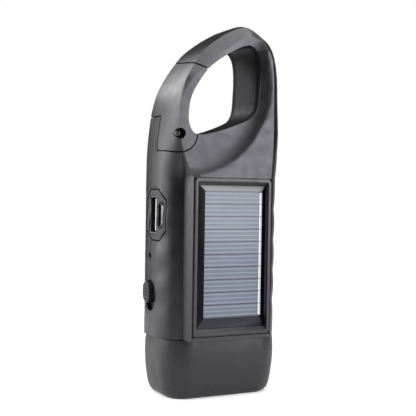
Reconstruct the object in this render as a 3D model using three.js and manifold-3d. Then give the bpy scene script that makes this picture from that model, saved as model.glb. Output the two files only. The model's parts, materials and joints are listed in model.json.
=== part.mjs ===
// Hand crank flashlight with a carabiner handle, a solar panel on its front and two ports on its side.
// Millimetres, +Z up. The lamp head is at the bottom, the solar panel faces -Y, the crank is on the back.
import * as THREE from 'three';
import { mergeVertices } from 'three/addons/utils/BufferGeometryUtils.js';
import Module from 'manifold-3d';

const wasm = await Module();
wasm.setup();

// Driving sizes of the housing
const bodyHalfWidth = 23;
const bodyBottomZ = 21;
const shoulderZ = 77;
const handleTopZ = 131.1;
const platformFrontY = -15.8;
const handleFrontY = -14;
const bodyFrontY = -10.5;
const frontCornerStartY = -1.5;
const partingY = 3.3;
const handleBackY = 10.5;
const bodyBackY = 13.5;
const platformInset = 7.5;
const platformHalfWidth = bodyHalfWidth - platformInset;
const flankDraft = 0.7;
const platformEdgeRound = 0.6;
const wall = 1.6;
const seam = 0.2;
const clearance = 0.3;
const overrun = 1;

// Rounding of the housing
const handleBackRound = 3;
const bodyBackRound = 5.5;
const backBlockInset = 0.5;
const backBlockRise = 7;
const backBlockTopZ = shoulderZ + backBlockRise;

// Finger grips along both sides
const gripDepth = 0.5;
const gripPitch = 11;
const firstGripZ = 33;
const gripCount = 4;
const gripSteps = 4;

// Neck that the head cap slides over, and the cavity behind it
const neckInset = 2.8;
const neckHalfWidth = bodyHalfWidth - neckInset;
const neckFrontY = -10;
const neckBackY = 10.8;
const neckBottomZ = 17;
const neckRound = 7;
const cavityRise = 5.5;
const cavityTopZ = shoulderZ + cavityRise;
const cavityFrontRound = 7.4;
const cavityBackRound = 3.9;
const cavitySlopeInset = 1;
const cavitySlopeZ = shoulderZ - cavitySlopeInset;
const cavitySlopeDrop = 3;

// Dished face around the handle opening
const handleRise = handleTopZ - shoulderZ;
const dishInset = 5.3;
const dishX = -bodyHalfWidth + dishInset;
const dishRiseShare = 0.5785;
const dishZ = shoulderZ + dishRiseShare * handleRise;
const dishMargin = 1.3;
const dishRadius = platformHalfWidth - dishMargin - dishX;
const dishBand = 8.5;
const dishFlatRadius = dishRadius - dishBand;

// Solar panel and its frame, all centred on the panel's height
const bodyMiddleZ = (bodyBottomZ + shoulderZ) / 2;
const panelRaise = 0.5;
const panelCentreZ = bodyMiddleZ + panelRaise;
const frameInset = 0.6;
const frameHalfWidth = platformHalfWidth - frameInset;
const frameEndInset = 0.9;
const frameHalfHeight = (shoulderZ - bodyBottomZ) / 2 - frameEndInset;
const frameProud = 0.2;
const frameThickness = 1.6;
const frameFlat = 0.6;
const frameEndFlat = 1.3;
const frameBevel = 1.4;
const frameBevelDepth = 1.2;
const frameRound = 0.8;
const panelSideInset = 0.9;
const panelEndInset = 1.1;
const panelHalfWidth = frameHalfWidth - panelSideInset;
const panelHalfHeight = frameHalfHeight - panelEndInset;
const panelThickness = 1.2;

// Carabiner gate
const gatePinInset = 3.3;
const gatePinX = -bodyHalfWidth + gatePinInset;
const gatePinRiseShare = 0.2662;
const gatePinZ = shoulderZ + gatePinRiseShare * handleRise;
const knuckleRadius = 6.2;
const gatePinRadius = 1.25;
const gatePinRecessRadius = 1.85;
const gatePinRecessDepth = 2.5;
const gatePinLength = 19;
const gateLapY = -1.2;
const gateLapRiseShare = 0.3845;
const gateLapZ = shoulderZ + gateLapRiseShare * handleRise;
const gateTipShare = 0.5783;
const gateTipX = -gateTipShare * bodyHalfWidth;
const gateTipRiseShare = 0.7117;
const gateTipZ = shoulderZ + gateTipRiseShare * handleRise;
const gateTipSlope = 0.4;
const gateTipTilt = 0.15;
const gateSeam = 0.28;
const gateGap = 0.6;
const springRadius = 1.8;
const springWireRadius = 0.22;
const springPitch = 1;
const springTurns = 3;
const springPocketRadius = 2.3;
const springPocketDepth = 4.1;

// Port plate and sockets on the left side
const plateHalfDepth = 6.6;
const plateTopInset = 4.6;
const plateMargin = 2.3;
const usbaHeight = 13.1;
const plateTopZ = shoulderZ - plateTopInset;
const plateBottomZ = plateTopZ - usbaHeight - 2 * plateMargin;
const plateChamfer = 3.6;
const plateDepth = 2.7;
const plateInnerX = -bodyHalfWidth + plateDepth;
const plateGap = 0.3;
const usbaY = 1.5;
const usbaZ = (plateTopZ + plateBottomZ) / 2;
const usbaThickness = 5.7;
const usbaLength = 10.2;
const usbcY = -3.9;
const usbcThickness = 3.2;
const usbcHeight = 8.94;
const usbcLength = 7.2;
const socketWall = 0.4;
const socketRecess = 0.3;

// Slide switch and indicator on the parting line of the left side
const switchRiseShare = 0.2518;
const switchZ = bodyBottomZ + switchRiseShare * (shoulderZ - bodyBottomZ);
const slotHeight = 11;
const slotDepth = 7.2;
const switchTravel = 2.4;
const knobHeight = 7.7;
const knobDepth = 6.4;
const switchProud = 1.6;
const indicatorRiseShare = 0.7143;
const indicatorZ = switchZ + indicatorRiseShare * (plateBottomZ - switchZ);
const indicatorRadius = 0.85;

// Head cap, lens and lamp
const capInset = 0.5;
const capHalfWidth = bodyHalfWidth - capInset;
const capFrontY = -12.8;
const capBackY = 13;
const capFrontRound = 9.6;
const capBackRound = 6;
const capWall = 1.9;
const capFloor = 2.4;
const lensInset = 4.5;
const lensHalfWidth = capHalfWidth - lensInset;
const lensHalfDepth = 8.4;
const lensRound = 6;
const lensThickness = 1.5;
const lensLip = 1.2;
const lensFlare = 1.1;
const cupMouthRadius = 5.3;
const cupMargin = 1.1;
const cupPitch = lensHalfWidth - cupMargin - cupMouthRadius;
const cupNeckRadius = 2.9;
const reflectorTopZ = 16.2;
const ledRadius = 2.5;
const ledLength = 8.6;

// Crank: turntable, folding arm and knob
const crankDrop = 3;
const crankZ = bodyMiddleZ - crankDrop;
const discInset = 5.5;
const discLip = 1.3;
const discStep = 0.8;
const discEndInset = 10.5;
const discRadius = Math.min(bodyHalfWidth - discInset, (shoulderZ - bodyBottomZ) / 2 - discEndInset);
const discNeckRadius = discRadius - discLip;
const discRootRadius = discNeckRadius - discStep;
const discSeatY = 12.5;
const discProud = 0.5;
const discFloorY = 9.5;
const armThickness = 3.4;
const armHalfWidth = 4.5;
const hingeInset = 2;
const hingeReach = discNeckRadius - hingeInset;
const hingeY = 14.4;
const barrelRadius = 1.6;
const barrelHalfWidth = 2.3;
const earThickness = 2;
const hingePinRadius = 0.8;
const knobRootRadius = 4.5;
const knobTipRadius = 3.3;
const knobLength = 7.6;
const pocketRadius = 5.3;
const pocketWall = 0.75;
const pocketMargin = 0.15;
const knobReach = hingeReach + discRootRadius - pocketRadius - pocketWall - pocketMargin;
const hubRadius = 2.9;
const shaftRadius = 2;

// Gear train and generator
const crankTeeth = 48;
const crankGearInset = 8.6;
const crankGearShare = 0.46452;
const crankPitchRadius = Math.min(bodyHalfWidth - crankGearInset, crankGearShare * (shoulderZ - crankZ));
const gearModule = 2 * crankPitchRadius / crankTeeth;
const pinionTeeth = 12;
const wheelTeeth = 30;
const rotorTeeth = 10;
const crankGearY = -3.4;
const wheelY = -5.9;
const gearThickness = 2;
const toothPlay = 0.12;
const crankReach = gearModule * (crankTeeth + pinionTeeth) / 2;
const rotorReach = gearModule * (wheelTeeth + rotorTeeth) / 2;
const rotorAcrossShare = 0.2667;
const rotorRiseShare = 0.85;
const rotorX = rotorAcrossShare * (crankReach + rotorReach);
const rotorZ = crankZ + rotorRiseShare * (crankReach + rotorReach);
const statorRadius = 9.5;
const statorBore = 5.6;
const rotorRadius = 5.1;
const statorY = 1.5;
const statorLength = 6;
const plateBackY = -6.1;
const gearPlateThickness = 0.8;
const axleRadius = 1;
const axleTail = 0.8;

const wideRoundSteps = 40;
const roundSteps = 28;
const smallRoundSteps = 16;

// Outline of the handle, from the left shoulder over the top to the right shoulder. Each row holds
// mid-depth x and z, front x and z, how far forward the side runs, how round it turns there, and how
// far the front slants inwards from that edge.
// x is a share of the body's half width and z a share of the rise from the shoulder to the top.
const handleShares = [
  [-1.000, 0.000, -0.674, 0.000, 0.00, 1.0, 0.0],
  [-0.996, 0.130, -0.774, 0.130, 0.30, 0.8, 0.0],
  [-0.979, 0.241, -0.843, 0.241, 0.60, 0.3, 0.0],
  [-0.955, 0.333, -0.872, 0.333, 0.66, 0.2, 0.0],
  [-0.920, 0.431, -0.860, 0.431, 0.62, 0.4, 0.1],
  [-0.855, 0.533, -0.809, 0.526, 0.52, 0.4, 0.2],
  [-0.754, 0.624, -0.716, 0.618, 0.38, 0.4, 0.4],
  [-0.614, 0.715, -0.580, 0.708, 0.20, 0.4, 0.7],
  [-0.443, 0.809, -0.412, 0.799, 0.08, 0.4, 0.9],
  [-0.217, 0.887, -0.195, 0.872, 0.05, 0.4, 1.0],
  [0.029, 0.954, 0.038, 0.932, 0.05, 0.4, 1.0],
  [0.255, 1.000, 0.240, 0.962, 0.12, 0.4, 0.9],
  [0.416, 0.987, 0.380, 0.940, 0.28, 0.5, 0.7],
  [0.578, 0.948, 0.495, 0.892, 0.50, 0.7, 0.4],
  [0.721, 0.900, 0.580, 0.834, 0.74, 0.9, 0.1],
  [0.815, 0.809, 0.637, 0.759, 0.86, 1.0, 0.0],
  [0.872, 0.665, 0.660, 0.647, 0.97, 1.0, 0.0],
  [0.892, 0.499, 0.668, 0.499, 0.97, 1.0, 0.0],
  [0.929, 0.296, 0.674, 0.296, 0.97, 1.0, 0.0],
  [0.980, 0.130, 0.674, 0.130, 0.50, 1.0, 0.0],
  [1.000, 0.000, 0.674, 0.000, 0.00, 1.0, 0.0],
];

// Opening of the handle, on the same shares, with the share of the lip that it has there
const openingShares = [
  [-0.609, 0.266, 0], [-0.374, 0.275, 0], [-0.035, 0.321, 0.3], [0.265, 0.379, 0.7], [0.395, 0.449, 1],
  [0.425, 0.570, 1], [0.432, 0.697, 1], [0.395, 0.801, 1], [0.262, 0.849, 0.8], [0.000, 0.804, 0.5],
  [-0.226, 0.749, 0], [-0.426, 0.679, 0], [-0.587, 0.584, 0], [-0.687, 0.505, 0], [-0.730, 0.414, 0],
  [-0.717, 0.325, 0],
];

// Lip inside the opening: share of its depth behind the front, and share of its reach outwards
const lipDepth = 3.4;
const lipReach = 0.35;
const openingRoundShare = 0.5;
const openingFlare = 1.7;
const lipShares = [[0, 1], [0.25, -0.7], [0.7, -1], [0.82, 0.6], [1, 0]];

// Depth of the profile rings on the way from the side to the front
const frontSlant = 5.2;
const profileShares = [0, 0.38, 0.66, 0.85, 0.955, 1];

// Soft step around the dish, from its flat to its edge: share of the band and share of the rise
const dishBandShares = [[0, 0], [0.3, 0.06], [0.6, 0.27], [0.85, 0.66], [1, 1]];

// Near the top the dish leaves its circle and opens outwards: share of the height above the circle's
// middle, and share of the flare
const dishFlare = 11;
const dishFlareShares = [[0.4, -0.16], [0.55, -0.17], [0.65, 0.03], [0.76, 0.42], [0.88, 0.95], [1, 1.5]];
const backProfileShares = [0, 0.55, 0.86, 1];

// Solids

function trianglesOf(geometry) {
  const plain = geometry.clone();
  plain.deleteAttribute('normal');
  plain.deleteAttribute('uv');
  const merged = mergeVertices(plain, 1e-5);
  const points = new Float32Array(merged.attributes.position.array);
  const faces = [];
  const index = merged.index.array;
  for (let i = 0; i < index.length; i += 3) {
    const [a, b, c] = [index[i], index[i + 1], index[i + 2]];
    if (a !== b && b !== c && c !== a) faces.push(a, b, c);
  }
  return { points, faces };
}

function signedVolume(points, faces) {
  const corner = (i) => new THREE.Vector3().fromArray(points, 3 * i);
  let volume = 0;
  for (let i = 0; i < faces.length; i += 3) {
    volume += corner(faces[i]).dot(corner(faces[i + 1]).cross(corner(faces[i + 2])));
  }
  return volume;
}

function solid(geometry) {
  const { points, faces } = trianglesOf(geometry);
  if (signedVolume(points, faces) < 0) faces.reverse();
  const mesh = new wasm.Mesh({ numProp: 3, vertProperties: points, triVerts: new Uint32Array(faces) });
  return new wasm.Manifold(mesh);
}

function geometryOf(body) {
  const mesh = body.getMesh();
  const geometry = new THREE.BufferGeometry();
  geometry.setAttribute('position', new THREE.BufferAttribute(new Float32Array(mesh.vertProperties), 3));
  geometry.setIndex(new THREE.BufferAttribute(new Uint32Array(mesh.triVerts), 1));
  geometry.computeVertexNormals();
  return geometry;
}

function joined(...bodies) {
  return bodies.reduce((whole, body) => whole.add(body));
}

// Closed solid through rings of points that all have the same count, with flat ends
function loft(rings) {
  const count = rings[0].length;
  const points = rings.flat().flatMap((p) => [p.x, p.y, p.z]);
  const faces = [];
  for (let r = 0; r + 1 < rings.length; r++) {
    for (let i = 0; i < count; i++) {
      const j = (i + 1) % count;
      const [a, b, c, d] = [r * count + i, r * count + j, (r + 1) * count + j, (r + 1) * count + i];
      faces.push(a, b, c, a, c, d);
    }
  }
  const last = rings.length - 1;
  const hub = rings.length * count;
  for (const ring of [rings[0], rings[last]]) {
    points.push(...new THREE.Box3().setFromPoints(ring).getCenter(new THREE.Vector3()).toArray());
  }
  for (let i = 0; i < count; i++) {
    const j = (i + 1) % count;
    faces.push(hub, j, i, hub + 1, last * count + i, last * count + j);
  }
  const geometry = new THREE.BufferGeometry();
  geometry.setAttribute('position', new THREE.Float32BufferAttribute(points, 3));
  geometry.setIndex(faces);
  return solid(geometry);
}

// Flat shape drawn in x and z, as thick as the stretch from frontY to backY
function alongY(shape, frontY, backY, steps = 12) {
  const options = { depth: backY - frontY, bevelEnabled: false, curveSegments: steps };
  const geometry = new THREE.ExtrudeGeometry(shape, options);
  return solid(geometry.rotateX(Math.PI / 2).translate(0, backY, 0));
}

// Flat shape drawn in y and z, from startX to endX
function alongX(shape, startX, endX, steps = 12) {
  const options = { depth: endX - startX, bevelEnabled: false, curveSegments: steps };
  const geometry = new THREE.ExtrudeGeometry(shape, options);
  const turn = new THREE.Matrix4().makeBasis(
    new THREE.Vector3(0, 1, 0), new THREE.Vector3(0, 0, 1), new THREE.Vector3(1, 0, 0));
  return solid(geometry.applyMatrix4(turn).translate(startX, 0, 0));
}

// Flat shape drawn in x and y, from lowZ to highZ
function alongZ(shape, lowZ, highZ, steps = 12) {
  const options = { depth: highZ - lowZ, bevelEnabled: false, curveSegments: steps };
  return solid(new THREE.ExtrudeGeometry(shape, options).translate(0, 0, lowZ));
}

// Turned solid around an axis that runs along y; the profile is given as radius and y
function turnedY(profile, x, z, steps = roundSteps) {
  const points = profile.map(([radius, y]) => new THREE.Vector2(radius, y));
  return solid(new THREE.LatheGeometry(points, steps).translate(x, 0, z));
}

// Turned solid around an axis that runs along z; the profile is given as radius and z
function turnedZ(profile, x, y, steps = roundSteps) {
  const points = profile.map(([radius, z]) => new THREE.Vector2(radius, z));
  return solid(new THREE.LatheGeometry(points, steps).rotateX(Math.PI / 2).translate(x, y, 0));
}

function rodY(radius, x, z, frontY, backY, steps = smallRoundSteps) {
  return turnedY([[0, frontY], [radius, frontY], [radius, backY], [0, backY]], x, z, steps);
}

function rodX(radius, y, z, startX, endX, steps = smallRoundSteps) {
  const geometry = new THREE.CylinderGeometry(radius, radius, endX - startX, steps);
  return solid(geometry.rotateZ(Math.PI / 2).translate((startX + endX) / 2, y, z));
}

function box(startX, endX, frontY, backY, lowZ, highZ) {
  const geometry = new THREE.BoxGeometry(endX - startX, backY - frontY, highZ - lowZ);
  return solid(geometry.translate((startX + endX) / 2, (frontY + backY) / 2, (lowZ + highZ) / 2));
}

// Rectangle with round corners; u and v are the two directions that it is drawn in
function roundedRectangle(lowU, highU, lowV, highV, round) {
  const shape = new THREE.Shape();
  shape.moveTo(lowU + round, lowV);
  shape.lineTo(highU - round, lowV);
  shape.absarc(highU - round, lowV + round, round, -Math.PI / 2, 0);
  shape.lineTo(highU, highV - round);
  shape.absarc(highU - round, highV - round, round, 0, Math.PI / 2);
  shape.lineTo(lowU + round, highV);
  shape.absarc(lowU + round, highV - round, round, Math.PI / 2, Math.PI);
  shape.lineTo(lowU, lowV + round);
  shape.absarc(lowU + round, lowV + round, round, Math.PI, 1.5 * Math.PI);
  return shape;
}

function circle(u, v, radius) {
  return new THREE.Shape().absarc(u, v, radius, 0, 2 * Math.PI);
}

// Level ring of the body's plan: flat sides, and corners of one radius in front and one at the back
function planRing(z, halfWidth, frontY, backY, frontRound, backRound, steps = 5) {
  const ring = [];
  const corner = (x, y, round, from) => {
    for (let i = 0; i <= steps; i++) {
      const angle = from + (i / steps) * (Math.PI / 2);
      ring.push(new THREE.Vector3(x + round * Math.cos(angle), y + round * Math.sin(angle), z));
    }
  };
  corner(halfWidth - backRound, backY - backRound, backRound, 0);
  corner(-halfWidth + backRound, backY - backRound, backRound, Math.PI / 2);
  corner(-halfWidth + frontRound, frontY + frontRound, frontRound, Math.PI);
  corner(halfWidth - frontRound, frontY + frontRound, frontRound, 1.5 * Math.PI);
  return ring;
}

// Housing

const xAt = (share) => share * bodyHalfWidth;
const zAt = (share) => shoulderZ + share * (handleTopZ - shoulderZ);

function gripInset(z) {
  const turns = (z - firstGripZ) / gripPitch;
  if (turns < -0.5 || turns > gripCount - 0.5) return 0;
  return gripDepth * (1 - Math.abs(Math.sin(Math.PI * turns)));
}

// Stations of the outline, each with its place at mid depth, its place on the front, and its turn
function sideStations(side) {
  const stations = [];
  const step = gripPitch / gripSteps;
  const firstZ = firstGripZ - gripPitch / 2;
  const gripHeights = Array.from({ length: gripCount * gripSteps + 1 }, (_, i) => firstZ + i * step);
  for (const z of [bodyBottomZ, ...gripHeights, shoulderZ - step]) {
    stations.push({
      mid: new THREE.Vector2(side * (bodyHalfWidth - gripInset(z)), z),
      front: new THREE.Vector2(side * platformHalfWidth, z),
      reach: 0,
      roundness: 1,
      slant: 0,
    });
  }
  return side < 0 ? stations : stations.reverse();
}

function handleStations() {
  const mid = handleShares.map((row) => new THREE.Vector3(xAt(row[0]), row[4], zAt(row[1])));
  const front = handleShares.map((row) => new THREE.Vector3(xAt(row[2]), row[5], zAt(row[3])));
  const slants = handleShares.map((row, i) => new THREE.Vector3(i, row[6], 0));
  const midCurve = new THREE.CatmullRomCurve3(mid, false, 'catmullrom', 0.5);
  const frontCurve = new THREE.CatmullRomCurve3(front, false, 'catmullrom', 0.5);
  const slantCurve = new THREE.CatmullRomCurve3(slants, false, 'catmullrom', 0.5);
  const count = 2 * (handleShares.length - 1);
  return Array.from({ length: count + 1 }, (_, i) => {
    const m = midCurve.getPoint(i / count);
    const f = frontCurve.getPoint(i / count);
    return {
      mid: new THREE.Vector2(m.x, m.z),
      front: new THREE.Vector2(f.x, f.z),
      reach: THREE.MathUtils.clamp(m.y, 0, 0.98),
      roundness: THREE.MathUtils.clamp(f.y, 0, 1),
      slant: frontSlant * THREE.MathUtils.clamp(slantCurve.getPoint(i / count).y, 0, 1),
    };
  });
}

function stationPoint(station, share) {
  const doneY = THREE.MathUtils.lerp(bodyFrontY, platformFrontY, station.reach);
  const y = THREE.MathUtils.lerp(frontCornerStartY, doneY, share);
  const round = 1 - Math.sqrt(1 - share * share);
  const turn = THREE.MathUtils.lerp(share * share, round, station.roundness);
  const place = station.mid.clone().lerp(shiftedFront(station, flankDraft), turn);
  return new THREE.Vector3(place.x, y, place.y);
}

// Place on the front moved outwards by a distance, less of it where the side runs forward
function shiftedFront(station, distance) {
  const outward = station.mid.clone().sub(station.front).normalize();
  return station.front.clone().addScaledVector(outward, distance * (1 - station.reach));
}

// Point on the rounding of the raised front's edge, from its start on the flank to its end on the face
function edgePoint(station, share) {
  const round = platformEdgeRound * (1 - station.reach);
  const inset = round * (1 - Math.sqrt(1 - share * share)) + station.slant;
  const outward = station.mid.clone().sub(station.front).normalize();
  const place = station.front.clone().addScaledVector(outward, -inset);
  return new THREE.Vector3(place.x, platformFrontY + round * (1 - share), place.y);
}

// Outline drawn in by a distance, with the bottom edge kept in place
function drawnIn(points, distance) {
  return points.map((point, i) => {
    const before = points[Math.max(i - 1, 0)];
    const after = points[Math.min(i + 1, points.length - 1)];
    const along = after.clone().sub(before).normalize();
    return new THREE.Vector2(point.x + along.y * distance, point.y - along.x * distance);
  });
}

function backRing(stations, share) {
  const y = handleBackY - handleBackRound + handleBackRound * share;
  const distance = handleBackRound * (1 - Math.sqrt(1 - share * share));
  return drawnIn(stations.map((s) => s.mid), distance).map((p) => new THREE.Vector3(p.x, y, p.y));
}

function dishCutter() {
  const flatY = handleFrontY;
  const edgeY = platformFrontY;
  const outY = platformFrontY - overrun;
  const band = dishBandShares.map(([across, rise]) => [
    THREE.MathUtils.lerp(dishFlatRadius, dishRadius, across),
    THREE.MathUtils.lerp(flatY, edgeY, rise),
  ]);
  const profile = [[0, flatY], ...band, [dishRadius, outY], [0, outY]];
  const turned = turnedY(profile, dishX, dishZ, wideRoundSteps);
  const flared = dishFlareShares.map(([height, share]) => {
    const z = THREE.MathUtils.lerp(dishZ, handleTopZ + overrun, height);
    const right = [...band, [dishRadius, outY]].map(([radius, y]) => (
      new THREE.Vector3(dishX + radius + share * dishFlare, y, z)));
    return [...right, new THREE.Vector3(-2 * bodyHalfWidth, outY, z),
      new THREE.Vector3(-2 * bodyHalfWidth, flatY, z)];
  });
  return joined(turned, loft(flared));
}

function outerForm() {
  const stations = [...sideStations(-1), ...handleStations(), ...sideStations(1)];
  const back = backProfileShares.map((share) => backRing(stations, share)).reverse();
  const front = profileShares.map((share) => stations.map((s) => stationPoint(s, share)));
  const edge = [0, 0.7, 1].map((share) => stations.map((s) => edgePoint(s, share)));
  const handle = loft([...back, ...front, ...edge]);
  const halfWidth = bodyHalfWidth - backBlockInset;
  const blockRing = (z, inset) => planRing(
    z, halfWidth - inset, frontCornerStartY + inset, bodyBackY - inset, bodyBackRound, bodyBackRound);
  const topRing = (share) => blockRing(
    backBlockTopZ - bodyBackRound + bodyBackRound * share,
    bodyBackRound * (1 - Math.sqrt(1 - share * share)));
  const roundTop = backProfileShares.slice(1).map(topRing);
  const block = loft([blockRing(bodyBottomZ, 0), blockRing(backBlockTopZ - bodyBackRound, 0), ...roundTop]);
  const neck = loft([neckBottomZ, bodyBottomZ + overrun].map((z) => planRing(
    z, neckHalfWidth, neckFrontY, neckBackY, neckRound, neckRound)));
  return joined(handle, block, neck).subtract(dishCutter());
}

// Outline of the opening, with the share of the lip in the third coordinate
function openingOutline() {
  const points = openingShares.map(([u, v, lip]) => new THREE.Vector3(xAt(u), zAt(v), lip));
  const curve = new THREE.CatmullRomCurve3(points, true, 'catmullrom', 0.5);
  return curve.getPoints(3 * points.length).slice(0, -1);
}

// Opening with a lip behind its front edge and a full rounding at the back, both on the side away from
// the gate; the gate's own side has less of the rounding
function openingCutter() {
  const outline = openingOutline();
  const ring = (y, lipGrow, backGrow) => outline.map((point, i) => {
    const before = outline[(i + outline.length - 1) % outline.length];
    const after = outline[(i + 1) % outline.length];
    const along = new THREE.Vector2(after.x - before.x, after.y - before.y).normalize();
    const lip = THREE.MathUtils.clamp(point.z, 0, 1);
    const drawn = (openingRoundShare + (1 - openingRoundShare) * lip) * backGrow;
    const shift = lip * lipGrow + drawn;
    return new THREE.Vector3(point.x + along.y * shift, y, point.y - along.x * shift);
  });
  const lipRings = lipShares.map(([depth, share]) => (
    ring(handleFrontY + depth * lipDepth, share * lipReach, 0)));
  const backRings = backProfileShares.map((share) => ring(
    handleBackY - handleBackRound * (1 - share), openingFlare,
    handleBackRound * (1 - Math.sqrt(1 - share * share))));
  return loft([
    ring(platformFrontY - overrun, lipReach * 2, 0), ...lipRings, ring(partingY - overrun, 0, 0),
    ...backRings, ring(bodyBackY + overrun, openingFlare, handleBackRound)]);
}

// Everything on the gate's side of the tip line at one depth, moved down by a distance
function belowTip(y, drop) {
  const reach = bodyHalfWidth;
  const tipZ = gateTipZ + gateTipTilt * (y - handleFrontY) - drop;
  return [
    new THREE.Vector3(gateTipX - reach, y, tipZ + gateTipSlope * reach),
    new THREE.Vector3(gateTipX + reach / 2, y, tipZ - gateTipSlope * reach / 2),
    new THREE.Vector3(gatePinX + knuckleRadius - drop, y, gatePinZ),
    new THREE.Vector3(gatePinX - reach, y, gatePinZ),
  ];
}

// Space of the gate: the whole arm above the lap, its front half and the knuckle below it
function gateSpace(grow, drop) {
  const frontY = platformFrontY - overrun;
  const backY = bodyBackY + overrun;
  const arm = loft([belowTip(frontY, drop), belowTip(backY, drop)]);
  const lapZ = gateLapZ + clearance - grow;
  const low = box(-2 * bodyHalfWidth, 0, gateLapY + grow, backY + overrun, 0, lapZ);
  const corner = box(gatePinX, 0, gateLapY + grow, backY + overrun, gatePinZ + grow, lapZ);
  const swing = rodY(knuckleRadius + clearance, gatePinX, gatePinZ, frontY, backY + 2 * overrun, roundSteps);
  const knuckle = rodY(knuckleRadius + grow, gatePinX, gatePinZ, frontY, gateLapY + grow, roundSteps);
  const space = joined(arm.subtract(low), knuckle);
  if (grow === 0) return space;
  const trim = corner.subtract(swing).intersect(box(
    gatePinX, 0, gateLapY + grow, backY, gatePinZ + knuckleRadius / 2, gateLapZ + clearance));
  return joined(space, trim);
}

function gatePinHole(radius) {
  const endY = handleFrontY + gatePinRecessDepth + gatePinLength;
  return rodY(radius, gatePinX, gatePinZ, platformFrontY, endY);
}

function gatePinRecess() {
  const depthY = handleFrontY + gatePinRecessDepth;
  return rodY(gatePinRecessRadius, gatePinX, gatePinZ, platformFrontY - overrun, depthY, roundSteps);
}

function gateBody(outer) {
  const pocketY = gateLapY - springPocketDepth;
  const pocket = rodY(springPocketRadius, gatePinX, gatePinZ, pocketY, gateLapY + overrun);
  return outer.intersect(gateSpace(0, gateGap)).subtract(openingCutter())
    .subtract(gatePinRecess()).subtract(gatePinHole(gatePinRadius + clearance / 2)).subtract(pocket);
}

function gatePin() {
  const frontY = handleFrontY + gatePinRecessDepth;
  const domeY = frontY - gatePinRadius;
  const backY = frontY + gatePinLength - overrun;
  const dome = [0.35, 0.65, 0.9].map((share) => [
    gatePinRadius * share, frontY - gatePinRadius * Math.sqrt(1 - share * share)]);
  const profile = [[0, domeY], ...dome, [gatePinRadius, frontY], [gatePinRadius, backY], [0, backY]];
  return turnedY(profile, gatePinX, gatePinZ, smallRoundSteps);
}

// Torsion spring as one unbroken tube; prints the least gap between its turns
function gateSpring() {
  const stepsPerTurn = 14;
  const count = springTurns * stepsPerTurn;
  const startY = gateLapY - springPocketDepth + springWireRadius + clearance;
  const points = Array.from({ length: count + 1 }, (_, i) => {
    const angle = (i / stepsPerTurn) * 2 * Math.PI;
    const y = startY + (i / stepsPerTurn) * springPitch;
    return new THREE.Vector3(
      gatePinX + springRadius * Math.cos(angle), y, gatePinZ + springRadius * Math.sin(angle));
  });
  let least = Infinity;
  points.forEach((p, i) => {
    points.slice(i + stepsPerTurn / 2).forEach((q) => { least = Math.min(least, p.distanceTo(q)); });
  });
  console.log('least gap between the turns of the gate spring', (least - 2 * springWireRadius).toFixed(2));
  return tube(points, springWireRadius, 5, count);
}

function tube(points, radius, sides, steps) {
  const section = new THREE.Shape(Array.from({ length: sides }, (_, i) => {
    const angle = (i / sides) * 2 * Math.PI;
    return new THREE.Vector2(radius * Math.cos(angle), radius * Math.sin(angle));
  }));
  const path = new THREE.CatmullRomCurve3(points);
  return solid(new THREE.ExtrudeGeometry(section, { steps, extrudePath: path, bevelEnabled: false }));
}

// Screws that hold the two halves: place, and how far in the head's seat lies
const screwHeadRadius = 2.5;
const screwHeadHeight = 1.6;
const screwShaftRadius = 1.1;
const screwLength = 13;
const screwBossRadius = 3.2;
const screwInset = 0.4;
const lowerScrewInset = 8.5;
const lowerScrewX = bodyHalfWidth - lowerScrewInset;
const lowerScrewRise = 4.2;
const lowerScrewZ = bodyBottomZ + lowerScrewRise;
const upperScrewInset = 10;
const upperScrewX = bodyHalfWidth - upperScrewInset;
const upperScrewRiseShare = 0.1701;
const upperScrewZ = shoulderZ + upperScrewRiseShare * handleRise;
const handleScrewShare = 0.687;
const handleScrewX = handleScrewShare * bodyHalfWidth;
const handleScrewRiseShare = 0.6469;
const handleScrewZ = shoulderZ + handleScrewRiseShare * handleRise;
const screws = [
  { name: 'screw_lower_left', x: -lowerScrewX, z: lowerScrewZ, backY: bodyBackY, boss: true },
  { name: 'screw_lower_right', x: lowerScrewX, z: lowerScrewZ, backY: bodyBackY, boss: true },
  { name: 'screw_upper_left', x: -upperScrewX, z: upperScrewZ, backY: handleBackY, boss: false },
  { name: 'screw_upper_right', x: upperScrewX, z: upperScrewZ, backY: handleBackY, boss: false },
  { name: 'screw_handle', x: handleScrewX, z: handleScrewZ, backY: handleBackY, boss: false },
];

function screwHole(screw) {
  const seatY = screw.backY - screwInset - screwHeadHeight - seam;
  const head = rodY(screwHeadRadius + clearance, screw.x, screw.z, seatY, bodyBackY + overrun, roundSteps);
  const shaftY = seatY - screwLength - clearance;
  return joined(head, rodY(screwShaftRadius + seam, screw.x, screw.z, shaftY, seatY + overrun));
}

function screwBody(screw) {
  const topY = screw.backY - screwInset;
  const seatY = topY - screwHeadHeight;
  const edgeY = topY - screwHeadHeight / 3;
  const crownRadius = screwHeadRadius * 0.75;
  const profile = [
    [0, seatY - screwLength], [screwShaftRadius, seatY - screwLength], [screwShaftRadius, seatY],
    [screwHeadRadius, seatY], [screwHeadRadius, edgeY], [crownRadius, topY], [0, topY]];
  const body = turnedY(profile, screw.x, screw.z, smallRoundSteps);
  const slot = screwHeadRadius * 0.6;
  const half = screwShaftRadius / 3;
  const deepY = topY - screwHeadHeight / 2;
  const across = box(screw.x - slot, screw.x + slot, deepY, topY + overrun, screw.z - half, screw.z + half);
  const upright = box(screw.x - half, screw.x + half, deepY, topY + overrun, screw.z - slot, screw.z + slot);
  return body.subtract(joined(across, upright));
}

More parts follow.
